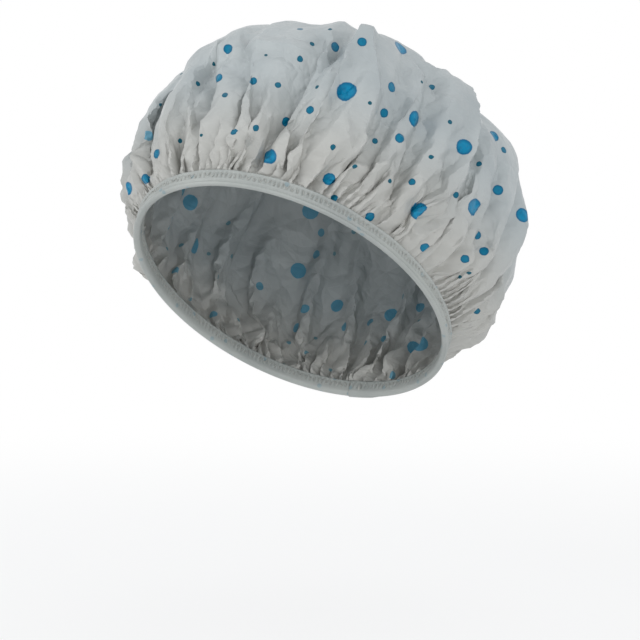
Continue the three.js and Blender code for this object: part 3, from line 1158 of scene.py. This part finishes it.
@dataclass
class HemBand:
    """The hem: a strip of film folded over the crown's edge, puckered by its stitching, its ends lapped."""

    stations: int = 1260
    rows: int = 38
    wall: float = 0.00026
    lap: float = 0.012
    lap_rise: float = 0.00045
    lap_ramp: float = 0.006
    pucker: float = 0.00036
    pucker_pitch: float = 0.0023
    pucker_slip: float = 1.6
    pucker_swell: float = 0.4
    wave: float = 0.00012
    wave_start: tuple[float, float] = (0.0015, 0.006)
    slow: RippleField = RippleField(61, 60, 0)
    slip: RippleField = RippleField(62, 40, 0)
    stitch_low: float = 0.0039
    stitch_low_edge: float = 0.0004
    stitch_high: float = 0.0068
    stitch_high_edge: float = 0.0003
    section: tuple[tuple[float, float], ...] = (
        (0.05, 8.05), (0.0, 7.4), (0.06, 6.2), (0.06, 5.0), (0.0, 3.2), (0.12, 1.9), (0.5, 1.0), (1.2, 0.3),
        (2.2, 0.0), (3.1, 0.2), (3.66, 0.8), (3.62, 1.4), (3.2, 1.8), (2.98, 2.1), (3.2, 2.45), (3.58, 2.8),
        (3.6, 3.4), (3.42, 3.8), (3.34, 5.0), (3.32, 6.3), (3.36, 6.8), (3.86, 7.25), (4.1, 7.7), (3.8, 8.2),
        (3.35, 8.1),
    )

    def profile(self) -> np.ndarray:
        """Gives the folded strip's section from the inner edge round to the outer one, in metres."""
        return smooth_path(np.array(self.section) * MM, self.rows + 1)

    def width(self) -> float:
        """Gives the strip's flat width."""
        return float(np.linalg.norm(np.diff(self.profile(), axis=0), axis=1).sum())

    def length(self) -> float:
        """Gives the strip's flat length, lap included."""
        return HEM_LENGTH + self.lap

    def build(self) -> Piece:
        """Folds a flat strip round the hem.

        Returns:
            The hem strip.
        """
        strip = Bench.strip("hem_binding_strip", self.stations, self.rows)
        flat = Bench.places(strip)
        profile = self.profile()
        lean = np.gradient(profile, axis=0)
        lean = np.stack([lean[:, 1], -lean[:, 0]], axis=1)
        lean /= np.linalg.norm(lean, axis=1, keepdims=True)
        row = np.rint(flat[:, 1] * self.rows).astype(int)
        distance = flat[:, 0] * self.length() - self.lap / 2
        proud = self._pucker(distance, profile[row]) + self._lapped(distance)
        out = profile[row, 0] + lean[row, 0] * proud
        height = profile[row, 1] + lean[row, 1] * proud
        Bench.reshape(strip, HEM.place(distance, out, height))
        Bench.pick(strip)
        bpy.ops.object.shade_smooth()
        Bench.apply(strip, "SOLIDIFY", thickness=self.wall, offset=-1.0)
        return strip

    def _pucker(self, distance: np.ndarray, place: np.ndarray) -> np.ndarray:
        """Puckers the strip where the stitches pull it, and lets it wave slowly with the gathers.

        Args:
            distance: length along the hem from the nape.
            place: rows of how far out and how high in the section.

        Returns:
            How far each place stands off the plain section.
        """
        rise = place[:, 1]
        low, high = self.stitch_low, self.stitch_high
        inside = smooth_step(rise, low - self.stitch_low_edge, low + self.stitch_low_edge)
        inside *= 1.0 - smooth_step(rise, high - self.stitch_high_edge, high + self.stitch_high_edge)
        turn = 2 * math.pi * distance / HEM_LENGTH
        slow = self.slow.at(turn, rise)
        slip = self.pucker_slip * self.slip.at(turn, rise)
        fine = np.cos(2 * math.pi * distance / self.pucker_pitch + slip)
        puckered = self.pucker * inside * fine * (1.0 + self.pucker_swell * slow)
        return puckered + self.wave * slow * smooth_step(rise, *self.wave_start)

    def _lapped(self, distance: np.ndarray) -> np.ndarray:
        """Gives how far the strip's end is lifted where it laps over its start."""
        start = HEM_LENGTH - self.lap / 2
        return self.lap_rise * smooth_step(distance, start - self.lap_ramp, start)


@dataclass
class Elastic:
    """The elastic: a flat woven band inside the hem, its end lapped over its start at the nape."""

    width: float = 0.005
    thickness: float = 0.0005
    lap: float = 0.015
    climb: float = 0.022
    inner: float = 0.0007
    layer: float = 0.0008
    low: float = 0.0023
    crisp: float = math.radians(40)
    stations: int = 360
    rows: int = 6

    def build(self) -> Piece:
        """Lays the band round inside the hem.

        Returns:
            The elastic.
        """
        band = Bench.strip("elastic_band_strip", self.stations, self.rows)
        flat = Bench.places(band)
        distance = flat[:, 0] * (HEM_LENGTH + self.lap) - self.lap / 2
        start = HEM_LENGTH - self.lap / 2
        lifted = np.clip((distance - start + self.climb) / self.climb, 0.0, 1.0)
        out = self.inner + self.thickness + self.layer * lifted
        height = self.low + self.width * flat[:, 1]
        Bench.reshape(band, HEM.place(distance, out, height))
        Bench.apply(band, "SOLIDIFY", thickness=self.thickness, offset=-1.0)
        Bench.pick(band)
        bpy.ops.object.shade_smooth_by_angle(angle=self.crisp)
        return band


class HemFace(Enum):
    """The hem's two faces: how far out each lies, and which way its thread stands off it."""

    OUTER = (0.00336, 1.0)
    INNER = (0.00004, -1.0)


@dataclass
class Stitching:
    """One row of zigzag thread on a face of the hem."""

    name: str
    face: HemFace
    pitch: float = 0.003
    low: float = 0.0041
    high: float = 0.0067
    radius: float = 0.00017
    dip: float = 0.0003
    near_share: float = 0.06
    far_share: float = 0.44
    shy_share: float = 0.1
    hole_lift: float = 0.8
    middle_lift: float = 1.1
    margin: float = 0.0018

    def build(self) -> Piece:
        """Draws one stitch, repeats it round the hem and thickens it into thread.

        Returns:
            The row of stitches.
        """
        run = HEM_LENGTH - 2 * self.margin
        count = round(run / self.pitch)
        step = run / count
        row = Bench.path(self.name, self._stitch(step))
        Bench.apply(
            row, "ARRAY", count=count, use_relative_offset=False, use_constant_offset=True,
            constant_offset_displace=(step, 0.0, 0.0), use_merge_vertices=True, merge_threshold=SMALL,
        )
        flat = Bench.places(row)
        level, side = self.face.value
        Bench.reshape(row, HEM.place(flat[:, 0] + self.margin, level + side * flat[:, 1], flat[:, 2]))
        Bench.thicken(row, self.radius)
        return row

    def _stitch(self, step: float) -> np.ndarray:
        """Draws one stitch: up to the top hole and down again, dipping at each hole.

        Args:
            step: the stitch's length along the hem.

        Returns:
            Rows of how far along, how far off the face and how high.
        """
        near, far = self.near_share * step, self.far_share * step
        lift, over = self.radius * self.hole_lift, self.radius * self.middle_lift
        shy = self.shy_share * (self.high - self.low)
        middle = (self.low + self.high) / 2
        return np.array([
            (0.0, -self.dip, self.low), (near, lift, self.low + shy), (step / 4, over, middle),
            (far, lift, self.high - shy), (step / 2, -self.dip, self.high),
            (step - far, lift, self.high - shy), (3 * step / 4, over, middle),
            (step - near, lift, self.low + shy), (step, -self.dip, self.low),
        ])


@dataclass
class BarTack:
    """The bar tack: thread wound tightly through the whole hem at the nape, which anchors the elastic."""

    turns: int = 7
    width: float = 0.0016
    span: float = 0.0032
    middle: float = 0.0043
    reach: float = 0.00062
    soft: float = 0.0003
    radius: float = 0.00015

    def build(self) -> Piece:
        """Winds the thread.

        Returns:
            The bar tack.
        """
        low, high = self.middle - self.span / 2, self.middle + self.span / 2
        inner, outer, soft = -self.reach, SHAPE.hem_thickness + self.reach, self.soft
        loop = (
            (outer, low + soft), (outer + soft / 2, self.middle), (outer, high - soft), (outer - soft, high),
            (inner + soft, high), (inner, high - soft), (inner - soft / 2, self.middle), (inner, low + soft),
            (inner + soft, low), (outer - soft, low),
        )
        corners = []
        for turn in range(self.turns):
            for place, (out, height) in enumerate(loop):
                along = self.width * ((turn + place / len(loop)) / self.turns - 0.5)
                corners.append((along, out, height))
        tack = Bench.path("bar_tack_thread", np.array(corners))
        flat = Bench.places(tack)
        Bench.reshape(tack, HEM.place(flat[:, 0], flat[:, 1], flat[:, 2]))
        Bench.thicken(tack, self.radius)
        return tack


def linear(red: int, green: int, blue: int) -> tuple[float, float, float, float]:
    """Turns a colour as seen on a screen into the shader's own scale.

    Args:
        red: from 0 to 255.
        green: from 0 to 255.
        blue: from 0 to 255.

    Returns:
        Red, green, blue and full cover, from 0 to 1.
    """
    parts = [value / 255 for value in (red, green, blue)]
    scaled = [part / 12.92 if part <= 0.04045 else ((part + 0.055) / 1.055) ** 2.4 for part in parts]
    return scaled[0], scaled[1], scaled[2], 1.0


class NodeBoard:
    """Adds shader nodes to a tree and links them, in a short form."""

    COLOUR_MIX = (0, 6, 7)
    COLOUR_RESULT = 2

    def __init__(self, tree: bpy.types.NodeTree) -> None:
        """Keeps the tree."""
        self.tree = tree

    def feed(self, node: Node, inputs: Inputs) -> None:
        """Gives a node's inputs their values: another socket is linked, a number, place or colour is set.

        Args:
            node: the node.
            inputs: the values by the input's name or number.
        """
        for key, value in inputs.items():
            if isinstance(value, Socket):
                self.tree.links.new(value, node.inputs[key])
            else:
                node.inputs[key].default_value = value

    def add(self, kind: str, inputs: Inputs | None = None, **settings: object) -> Node:
        """Adds a node.

        Args:
            kind: the node's type, without its prefix.
            inputs: the values of its inputs by name or number.
            settings: its own settings by name.

        Returns:
            The node.
        """
        node = self.tree.nodes.new("ShaderNode" + kind)
        for name, value in settings.items():
            setattr(node, name, value)
        self.feed(node, inputs or {})
        return node

    def math(self, operation: str, *values: object) -> Socket:
        """Adds a sum on sockets or numbers."""
        return self.add("Math", dict(enumerate(values)), operation=operation).outputs["Value"]

    def vector(self, operation: str, *values: object) -> Socket:
        """Adds a sum on sockets or vectors, which gives a value for a length and a vector otherwise."""
        node = self.add("VectorMath", dict(enumerate(values)), operation=operation)
        return node.outputs["Value" if operation == "LENGTH" else "Vector"]

    def uv(self, name: str) -> Socket:
        """Reads one of the piece's UV maps."""
        return self.add("UVMap", uv_map=name).outputs["UV"]

    def ramp(self, value: Socket, low: float, high: float, start: float = 0.0) -> Socket:
        """Turns a value into a smooth step, from its start at low to 1 at high."""
        inputs = {"Value": value, "From Min": low, "From Max": high, "To Min": start}
        return self.add("MapRange", inputs, interpolation_type="SMOOTHSTEP").outputs["Result"]

    def noise(self, place: Socket, scale: float, detail: float = 2.0) -> Node:
        """Adds a noise of so many grains to a metre, with finer grains laid over them."""
        return self.add("TexNoise", {"Vector": place, "Scale": scale, "Detail": detail})

    def cells(self, place: Socket, scale: object, feature: str) -> Socket:
        """Adds flat cells, so many to a metre, and gives the distance to what the feature names."""
        inputs = {"Vector": place, "Scale": scale}
        return self.add("TexVoronoi", inputs, voronoi_dimensions="2D", feature=feature).outputs["Distance"]

    def blend(self, mask: object, first: object, second: object) -> Socket:
        """Mixes two colours, each a socket or a plain one, by the share of the second."""
        inputs = dict(zip(self.COLOUR_MIX, (mask, first, second)))
        return self.add("Mix", inputs, data_type="RGBA").outputs[self.COLOUR_RESULT]

    def bump(self, shader: Node, height: Socket, distance: float, strength: float = 1.0) -> None:
        """Raises a shader's surface by a height, which at 1 is so many metres."""
        node = self.add("Bump", {"Height": height, "Distance": distance, "Strength": strength})
        self.feed(shader, {"Normal": node.outputs["Normal"]})

    def swap(self, mask: Socket, lit: Node, shown: Node, output: Node) -> None:
        """Puts out one shader, and another where a mask says so."""
        mix = self.add("MixShader", {0: mask, 1: lit.outputs[0], 2: shown.outputs[0]})
        self.feed(output, {"Surface": mix.outputs[0]})


class CrumpleGroup:
    """Crumpled film: flat facets between crisp creases at two sizes, and a slow cloudiness."""

    NAME = "film_crumple"
    VALUES = (("Facets", 70.0), ("Fine Facets", 190.0), ("Fine Share", 0.3))
    RESULTS = ("Height", "Cloud")
    WARP_SCALE = 40.0
    WARP = (0.014, 0.014, 0.0)
    CLOUD_SCALE = 25.0
    CLOUD_DETAIL = 4.0

    @classmethod
    def tree(cls) -> bpy.types.NodeTree:
        """Gives the node group, made once.

        Returns:
            The group, which reads a flat place in metres.
        """
        made = bpy.data.node_groups.get(cls.NAME)
        if made:
            return made
        tree = bpy.data.node_groups.new(cls.NAME, "ShaderNodeTree")
        tree.interface.new_socket("Place", in_out="INPUT", socket_type="NodeSocketVector")
        for name, value in cls.VALUES:
            socket = tree.interface.new_socket(name, in_out="INPUT", socket_type="NodeSocketFloat")
            socket.default_value = value
        for name in cls.RESULTS:
            tree.interface.new_socket(name, in_out="OUTPUT", socket_type="NodeSocketFloat")
        board = NodeBoard(tree)
        source = tree.nodes.new("NodeGroupInput").outputs
        result = tree.nodes.new("NodeGroupOutput")
        warp = board.noise(source["Place"], cls.WARP_SCALE).outputs["Color"]
        lean = board.vector("MULTIPLY_ADD", warp, cls.WARP, source["Place"])
        broad, fine = (
            board.cells(lean, source[size], "DISTANCE_TO_EDGE") for size in ("Facets", "Fine Facets")
        )
        height = board.math("ADD", broad, board.math("MULTIPLY", fine, source["Fine Share"]))
        cloud = board.noise(source["Place"], cls.CLOUD_SCALE, cls.CLOUD_DETAIL).outputs["Fac"]
        board.feed(result, {"Height": height, "Cloud": cloud})
        return tree


class Finish:
    """A surface finish, made once as a material and given to pieces."""

    name: str = "finish"

    def material(self) -> bpy.types.Material:
        """Makes the material, or gives the one already made.

        Returns:
            The material.
        """
        made = bpy.data.materials.get(self.name)
        if made:
            return made
        material = bpy.data.materials.new(self.name)
        material.use_nodes = True
        shader = material.node_tree.nodes["Principled BSDF"]
        self.paint(NodeBoard(material.node_tree), shader)
        return material

    def paint(self, board: NodeBoard, shader: Node) -> None:
        """Sets a shader's constants and links its varying inputs, on the board of its tree."""
        raise NotImplementedError

    def dress(self, piece: Piece) -> None:
        """Gives a piece this finish alone."""
        piece.data.materials.clear()
        piece.data.materials.append(self.material())


@dataclass(frozen=True)
class CrumpledFinish(Finish):
    """Thin crumpled film: cloudy in two tones, with a soft sheen that follows the clouds."""

    name: str = "film_plain"
    pale: tuple[float, ...] = linear(182, 187, 187)
    cloudy: tuple[float, ...] = linear(170, 176, 177)
    clouds: tuple[float, float] = (0.35, 0.7)
    roughness: float = 0.36
    gloss_spread: float = 0.16
    shine: float = 0.2
    facets: float = 60.0
    fine_facets: float = 170.0
    fine_share: float = 0.28
    crease: float = 0.0018
    crease_strength: float = 1.0

    def crumple(
        self, board: NodeBoard, shader: Node, place: Socket
    ) -> Socket:
        """Crumples the film and gives it its sheen.

        Args:
            board: the board of the material's tree.
            shader: its shader.
            place: the socket of the flat place, in metres.

        Returns:
            The socket of the clouded colour.
        """
        sizes = {"Facets": self.facets, "Fine Facets": self.fine_facets, "Fine Share": self.fine_share}
        crumple = board.add("Group", {"Place": place, **sizes}, node_tree=CrumpleGroup.tree())
        cloud = crumple.outputs["Cloud"]
        gloss = board.math("MULTIPLY_ADD", cloud, self.gloss_spread, self.roughness - self.gloss_spread / 2)
        board.feed(shader, {"Specular IOR Level": self.shine, "Roughness": gloss})
        board.bump(shader, crumple.outputs["Height"], self.crease, self.crease_strength)
        return board.blend(board.ramp(cloud, *self.clouds), self.pale, self.cloudy)


@dataclass(frozen=True)
class FilmFinish(CrumpledFinish):
    """The crown's film, pale cool grey and warmer towards its edge, printed with blue dots."""

    name: str = "film_printed"
    warm: tuple[float, ...] = linear(183, 182, 177)
    warm_reach: tuple[float, float] = (0.13, 0.185)
    ink: tuple[float, ...] = linear(0, 130, 170)
    ink_rim: tuple[float, ...] = linear(0, 98, 136)
    ink_deep: tuple[float, ...] = linear(14, 84, 100)
    ink_through: tuple[float, ...] = linear(92, 152, 178)
    ink_deep_through: tuple[float, ...] = linear(118, 150, 158)
    ragged_scale: float = 700.0
    raggedness: float = 0.16
    ink_edge: tuple[float, float] = (0.95, 1.04)
    rim_edge: tuple[float, float] = (0.5, 0.98)
    blotch_scale: float = 420.0
    blotch_edge: tuple[float, float] = (0.4, 0.75)
    blotch_share: float = 0.7

    def dress(self, piece: Piece) -> None:
        """Gives a film this finish outside, and inside the same with the print showing through faintly.

        Args:
            piece: the film, with a material place for each side.
        """
        through = self.ink_through
        inside = replace(
            self, name="film_inside", ink=through, ink_rim=through, ink_deep=self.ink_deep_through
        )
        piece.data.materials[0] = self.material()
        piece.data.materials[1] = inside.material()

    def paint(self, board: NodeBoard, shader: Node) -> None:
        """Crumples the film and prints the dots on it.

        Args:
            board: the board of the material's tree.
            shader: its shader.
        """
        cut = board.uv("cut")
        film = self.crumple(board, shader, cut)
        film = board.blend(board.ramp(board.vector("LENGTH", cut), *self.warm_reach), film, self.warm)
        grain = board.noise(cut, self.ragged_scale).outputs["Fac"]
        ragged = board.math("MULTIPLY_ADD", grain, self.raggedness, -self.raggedness / 2)
        edge = board.math("ADD", board.vector("LENGTH", board.uv("print")), ragged)
        inked = board.math("SUBTRACT", 1.0, board.ramp(edge, *self.ink_edge))
        blotch = board.ramp(board.noise(cut, self.blotch_scale).outputs["Fac"], *self.blotch_edge)
        blotch = board.math("MULTIPLY", blotch, self.blotch_share)
        rim = board.math("MAXIMUM", board.ramp(edge, *self.rim_edge), blotch)
        tone = board.add("Attribute", attribute_name="tone").outputs["Fac"]
        ink = board.blend(tone, board.blend(rim, self.ink, self.ink_rim), self.ink_deep)
        board.feed(shader, {"Base Color": board.blend(inked, film, ink)})


@dataclass(frozen=True)
class BindingFinish(CrumpledFinish):
    """The same film folded into a strip: smoother, with fine cross puckers and a few print specks."""

    name: str = "film_binding"
    pale: tuple[float, ...] = linear(172, 175, 171)
    cloudy: tuple[float, ...] = linear(158, 162, 159)
    roughness: float = 0.38
    shine: float = 0.3
    facets: float = 260.0
    fine_facets: float = 700.0
    fine_share: float = 0.3
    crease: float = 0.00025
    crease_strength: float = 0.6
    strip_size: tuple[float, float, float] = (HEM_LENGTH, 0.0205, 0.0)
    speck: tuple[float, ...] = linear(118, 146, 156)
    speck_scale: float = 75.0
    speck_edge: tuple[float, float] = (0.07, 0.11)
    speck_share: float = 0.55

    def paint(self, board: NodeBoard, shader: Node) -> None:
        """Crumples the strip and specks it.

        Args:
            board: the board of the material's tree.
            shader: its shader.
        """
        flat = board.vector("MULTIPLY", board.uv("cut"), self.strip_size)
        film = self.crumple(board, shader, flat)
        specks = board.cells(flat, self.speck_scale, "F1")
        near = board.math("SUBTRACT", 1.0, board.ramp(specks, *self.speck_edge))
        faint = board.math("MULTIPLY", near, self.speck_share)
        board.feed(shader, {"Base Color": board.blend(faint, film, self.speck)})


@dataclass(frozen=True)
class ElasticFinish(Finish):
    """Woven elastic: off-white, matt, ribbed along its length, with painted shade in the grooves between its
    ribs.
    """

    name: str = "elastic_woven"
    pale: tuple[float, ...] = linear(228, 226, 218)
    painted_groove_shade: tuple[float, ...] = linear(196, 193, 184)
    band_size: tuple[float, float, float] = (HEM_LENGTH, 0.005, 0.0)
    ribs: float = 4400.0
    wefts: float = 5200.0
    weft_share: float = 0.3
    roughness: float = 0.85
    depth: float = 0.0002

    def paint(self, board: NodeBoard, shader: Node) -> None:
        """Ribs the band along its length and crosses it with the weft, and paints shade into the grooves
        where the weave sinks.

        Args:
            board: the board of the material's tree.
            shader: its shader.
        """
        flat = board.vector("MULTIPLY", board.uv("cut"), self.band_size)
        parts = board.add("SeparateXYZ", {"Vector": flat}).outputs
        rib, weft = (
            board.math("ABSOLUTE", board.math("SINE", board.math("MULTIPLY", parts[axis], count)))
            for axis, count in (("Y", self.ribs), ("X", self.wefts))
        )
        crossed = board.math("MULTIPLY_ADD", weft, self.weft_share, 1.0 - self.weft_share)
        weave = board.math("MULTIPLY", rib, crossed)
        # painted shade: the colour darkens where the weave's bump sinks between ribs and wefts
        colour = board.blend(weave, self.painted_groove_shade, self.pale)
        board.feed(shader, {"Base Color": colour, "Roughness": self.roughness})
        board.bump(shader, weave, self.depth)


@dataclass(frozen=True)
class ThreadFinish(Finish):
    """Sewing thread: off-white, softly fibrous."""

    name: str = "thread_spun"
    pale: tuple[float, ...] = linear(190, 190, 184)
    dull: tuple[float, ...] = linear(160, 161, 157)
    fibre_scale: float = 5200.0
    fibre_detail: float = 3.0
    fibre_edge: tuple[float, float] = (0.35, 0.65)
    roughness: float = 0.6
    depth: float = 0.00008

    def paint(self, board: NodeBoard, shader: Node) -> None:
        """Mottles the thread as its fibres catch the light.

        Args:
            board: the board of the material's tree.
            shader: its shader.
        """
        place = board.add("TexCoord").outputs["Object"]
        fibre = board.noise(place, self.fibre_scale, self.fibre_detail).outputs["Fac"]
        colour = board.blend(board.ramp(fibre, *self.fibre_edge), self.dull, self.pale)
        board.feed(shader, {"Base Color": colour, "Roughness": self.roughness})
        board.bump(shader, fibre, self.depth)


@dataclass(frozen=True)
class Lamp:
    """One soft lamp: where it stands, its size and its power."""

    name: str
    place: tuple[float, float, float]
    size: float
    power: float


@dataclass
class Studio:
    """The camera at the picture's angle, soft lamps, and a pale floor under a white backdrop."""

    azimuth: float = math.radians(27)
    elevation: float = math.radians(4)
    distance: float = 1.2
    shift_right: float = 0.0151
    shift_up: float = -0.0116
    focal_pixels: float = 2340.0
    picture_pixels: float = 640.0
    sensor: float = 36.0
    floor_height: float = -0.168
    floor_size: float = 8.0
    floor_colour: tuple[float, ...] = linear(236, 236, 236)
    floor_roughness: float = 0.9
    floor_fade: tuple[float, float] = (0.25, 0.9)
    floor_glow: float = 0.75
    sky: tuple[float, ...] = (0.92, 0.96, 1.0, 1.0)
    sky_strength: float = 0.75
    target: tuple[float, float, float] = (0.0, 0.02, 0.03)
    lamps: tuple[Lamp, ...] = (
        Lamp("key_lamp", (-0.85, -1.2, 0.65), 0.9, 6.6),
        Lamp("fill_lamp", (1.15, -1.0, -0.1), 1.1, 9.8),
        Lamp("top_lamp", (0.1, 0.5, 1.5), 1.0, 1.5),
    )

    def build(self) -> None:
        """Sets up the camera, the lamps, the floor and the world."""
        bpy.context.scene.view_settings.view_transform = "Standard"
        self._camera()
        for lamp in self.lamps:
            self._lamp(lamp)
        self._floor()
        self._world()

    def stand(self) -> tuple[Vector, Vector, Vector, Vector]:
        """Works out where the camera stands.

        Returns:
            Its place, and its right, up and back.
        """
        level, sin, cos = math.cos(self.elevation), math.sin(self.azimuth), math.cos(self.azimuth)
        back = Vector((sin * level, -cos * level, math.sin(self.elevation)))
        right = Vector((cos, sin, 0.0))
        up = back.cross(right)
        return back * self.distance + right * self.shift_right + up * self.shift_up, right, up, back

    def ray(self, across: float, down: float) -> tuple[Vector, Vector]:
        """Gives the line of sight through a pixel of the picture.

        Args:
            across: pixels from the picture's left edge.
            down: pixels from its top edge.

        Returns:
            The camera's place and the line's direction.
        """
        place, right, up, back = self.stand()
        middle = self.picture_pixels / 2
        aim = right * (across - middle) + up * (middle - down) - back * self.focal_pixels
        return place, aim.normalized()

    def _camera(self) -> None:
        """Stands the camera off the cap, a little above its level."""
        place, right, up, back = self.stand()
        data = bpy.data.cameras.new("camera")
        data.sensor_width = self.sensor
        data.lens = self.sensor * self.focal_pixels / self.picture_pixels
        camera = bpy.data.objects.new("camera", data)
        bpy.context.scene.collection.objects.link(camera)
        axes = Matrix((right, up, back)).transposed().to_4x4()
        camera.matrix_world = Matrix.Translation(place) @ axes
        bpy.context.scene.camera = camera

    def _lamp(self, lamp: Lamp) -> None:
        """Adds one square lamp that points at the cap.

        Args:
            lamp: the lamp.
        """
        data = bpy.data.lights.new(lamp.name, "AREA")
        data.energy = lamp.power
        data.size = lamp.size
        piece = bpy.data.objects.new(lamp.name, data)
        bpy.context.scene.collection.objects.link(piece)
        piece.location = lamp.place
        aim = Vector(self.target) - Vector(lamp.place)
        piece.rotation_euler = aim.to_track_quat("-Z", "Y").to_euler()

    def _floor(self) -> None:
        """Lays the floor, which looks white but keeps the cap's shadow."""
        bpy.ops.object.select_all(action="DESELECT")
        bpy.ops.mesh.primitive_plane_add(size=self.floor_size, location=(0.0, 0.0, self.floor_height))
        floor = bpy.context.object
        floor.name = "floor"
        bpy.ops.object.transform_apply(location=True, rotation=True, scale=True)
        material = bpy.data.materials.new("floor_white")
        material.use_nodes = True
        nodes = material.node_tree.nodes
        board = NodeBoard(material.node_tree)
        shader = nodes["Principled BSDF"]
        board.feed(shader, {"Base Color": self.floor_colour, "Roughness": self.floor_roughness})
        reach = board.vector("LENGTH", board.add("TexCoord").outputs["Object"])
        faded = board.ramp(reach, *self.floor_fade, self.floor_glow)
        mask = board.math("MULTIPLY", self._seen(board), faded)
        board.swap(mask, shader, board.add("Emission"), nodes["Material Output"])
        floor.data.materials.append(material)

    def _world(self) -> None:
        """Lights the cap softly from all round, and shows white behind it."""
        world = bpy.data.worlds.new("studio")
        bpy.context.scene.world = world
        world.use_nodes = True
        nodes = world.node_tree.nodes
        board = NodeBoard(world.node_tree)
        sky = nodes["Background"]
        board.feed(sky, {"Color": self.sky, "Strength": self.sky_strength})
        white = board.add("Background", {"Color": linear(255, 255, 255)})
        board.swap(self._seen(board), sky, white, nodes["World Output"])

    @staticmethod
    def _seen(board: NodeBoard) -> Socket:
        """Tells rays that show the backdrop, straight or in a reflection, from rays that light the cap.

        Args:
            board: the board of the tree that asks.

        Returns:
            The socket of the mask, 1 for rays that show it.
        """
        path = board.add("LightPath").outputs
        seen = board.math("MAXIMUM", path["Is Camera Ray"], path["Is Glossy Ray"])
        return board.math("MAXIMUM", seen, path["Is Transmission Ray"])


def fit(piece: Piece, node: str, finish: Finish, stretches: bool = True) -> None:
    """Dresses a piece, hides the solid that it stands for, and bakes its place or ties it to the nape.

    Args:
        piece: the finished piece.
        node: the solid that it stands for.
        finish: the finish.
        stretches: whether its place is baked into its mesh, or it is tied to the nape's body to move with it.
    """
    finish.dress(piece)
    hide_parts(node)
    if stretches:
        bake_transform(piece)
    else:
        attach(piece, Body.NAPE.value)
    LOG.info("%s: %d faces for %s", piece.name, len(piece.data.polygons), node)


def main() -> None:
    """Builds the studio and the cap, piece by piece."""
    logging.basicConfig(level=logging.INFO, format="%(message)s")
    studio = Studio()
    studio.build()
    crown, band, elastic = Crown(studio), HemBand(), Elastic()
    film = crown.build()
    fit(film, "crown_film", FilmFinish())
    strip = band.build()
    fit(strip, "hem_binding", BindingFinish())
    fit(elastic.build(), "elastic_band", ElasticFinish())
    needle = Stitching("needle_thread_row", HemFace.OUTER).build()
    fit(needle, "needle_thread", ThreadFinish())
    bobbin = Stitching("bobbin_thread_row", HemFace.INNER).build()
    fit(bobbin, "bobbin_thread", ThreadFinish())
    tack = BarTack().build()
    fit(tack, "elastic_tack", ThreadFinish(), stretches=False)
    band.length()
    band.width()


if __name__ == "__main__":
    main()
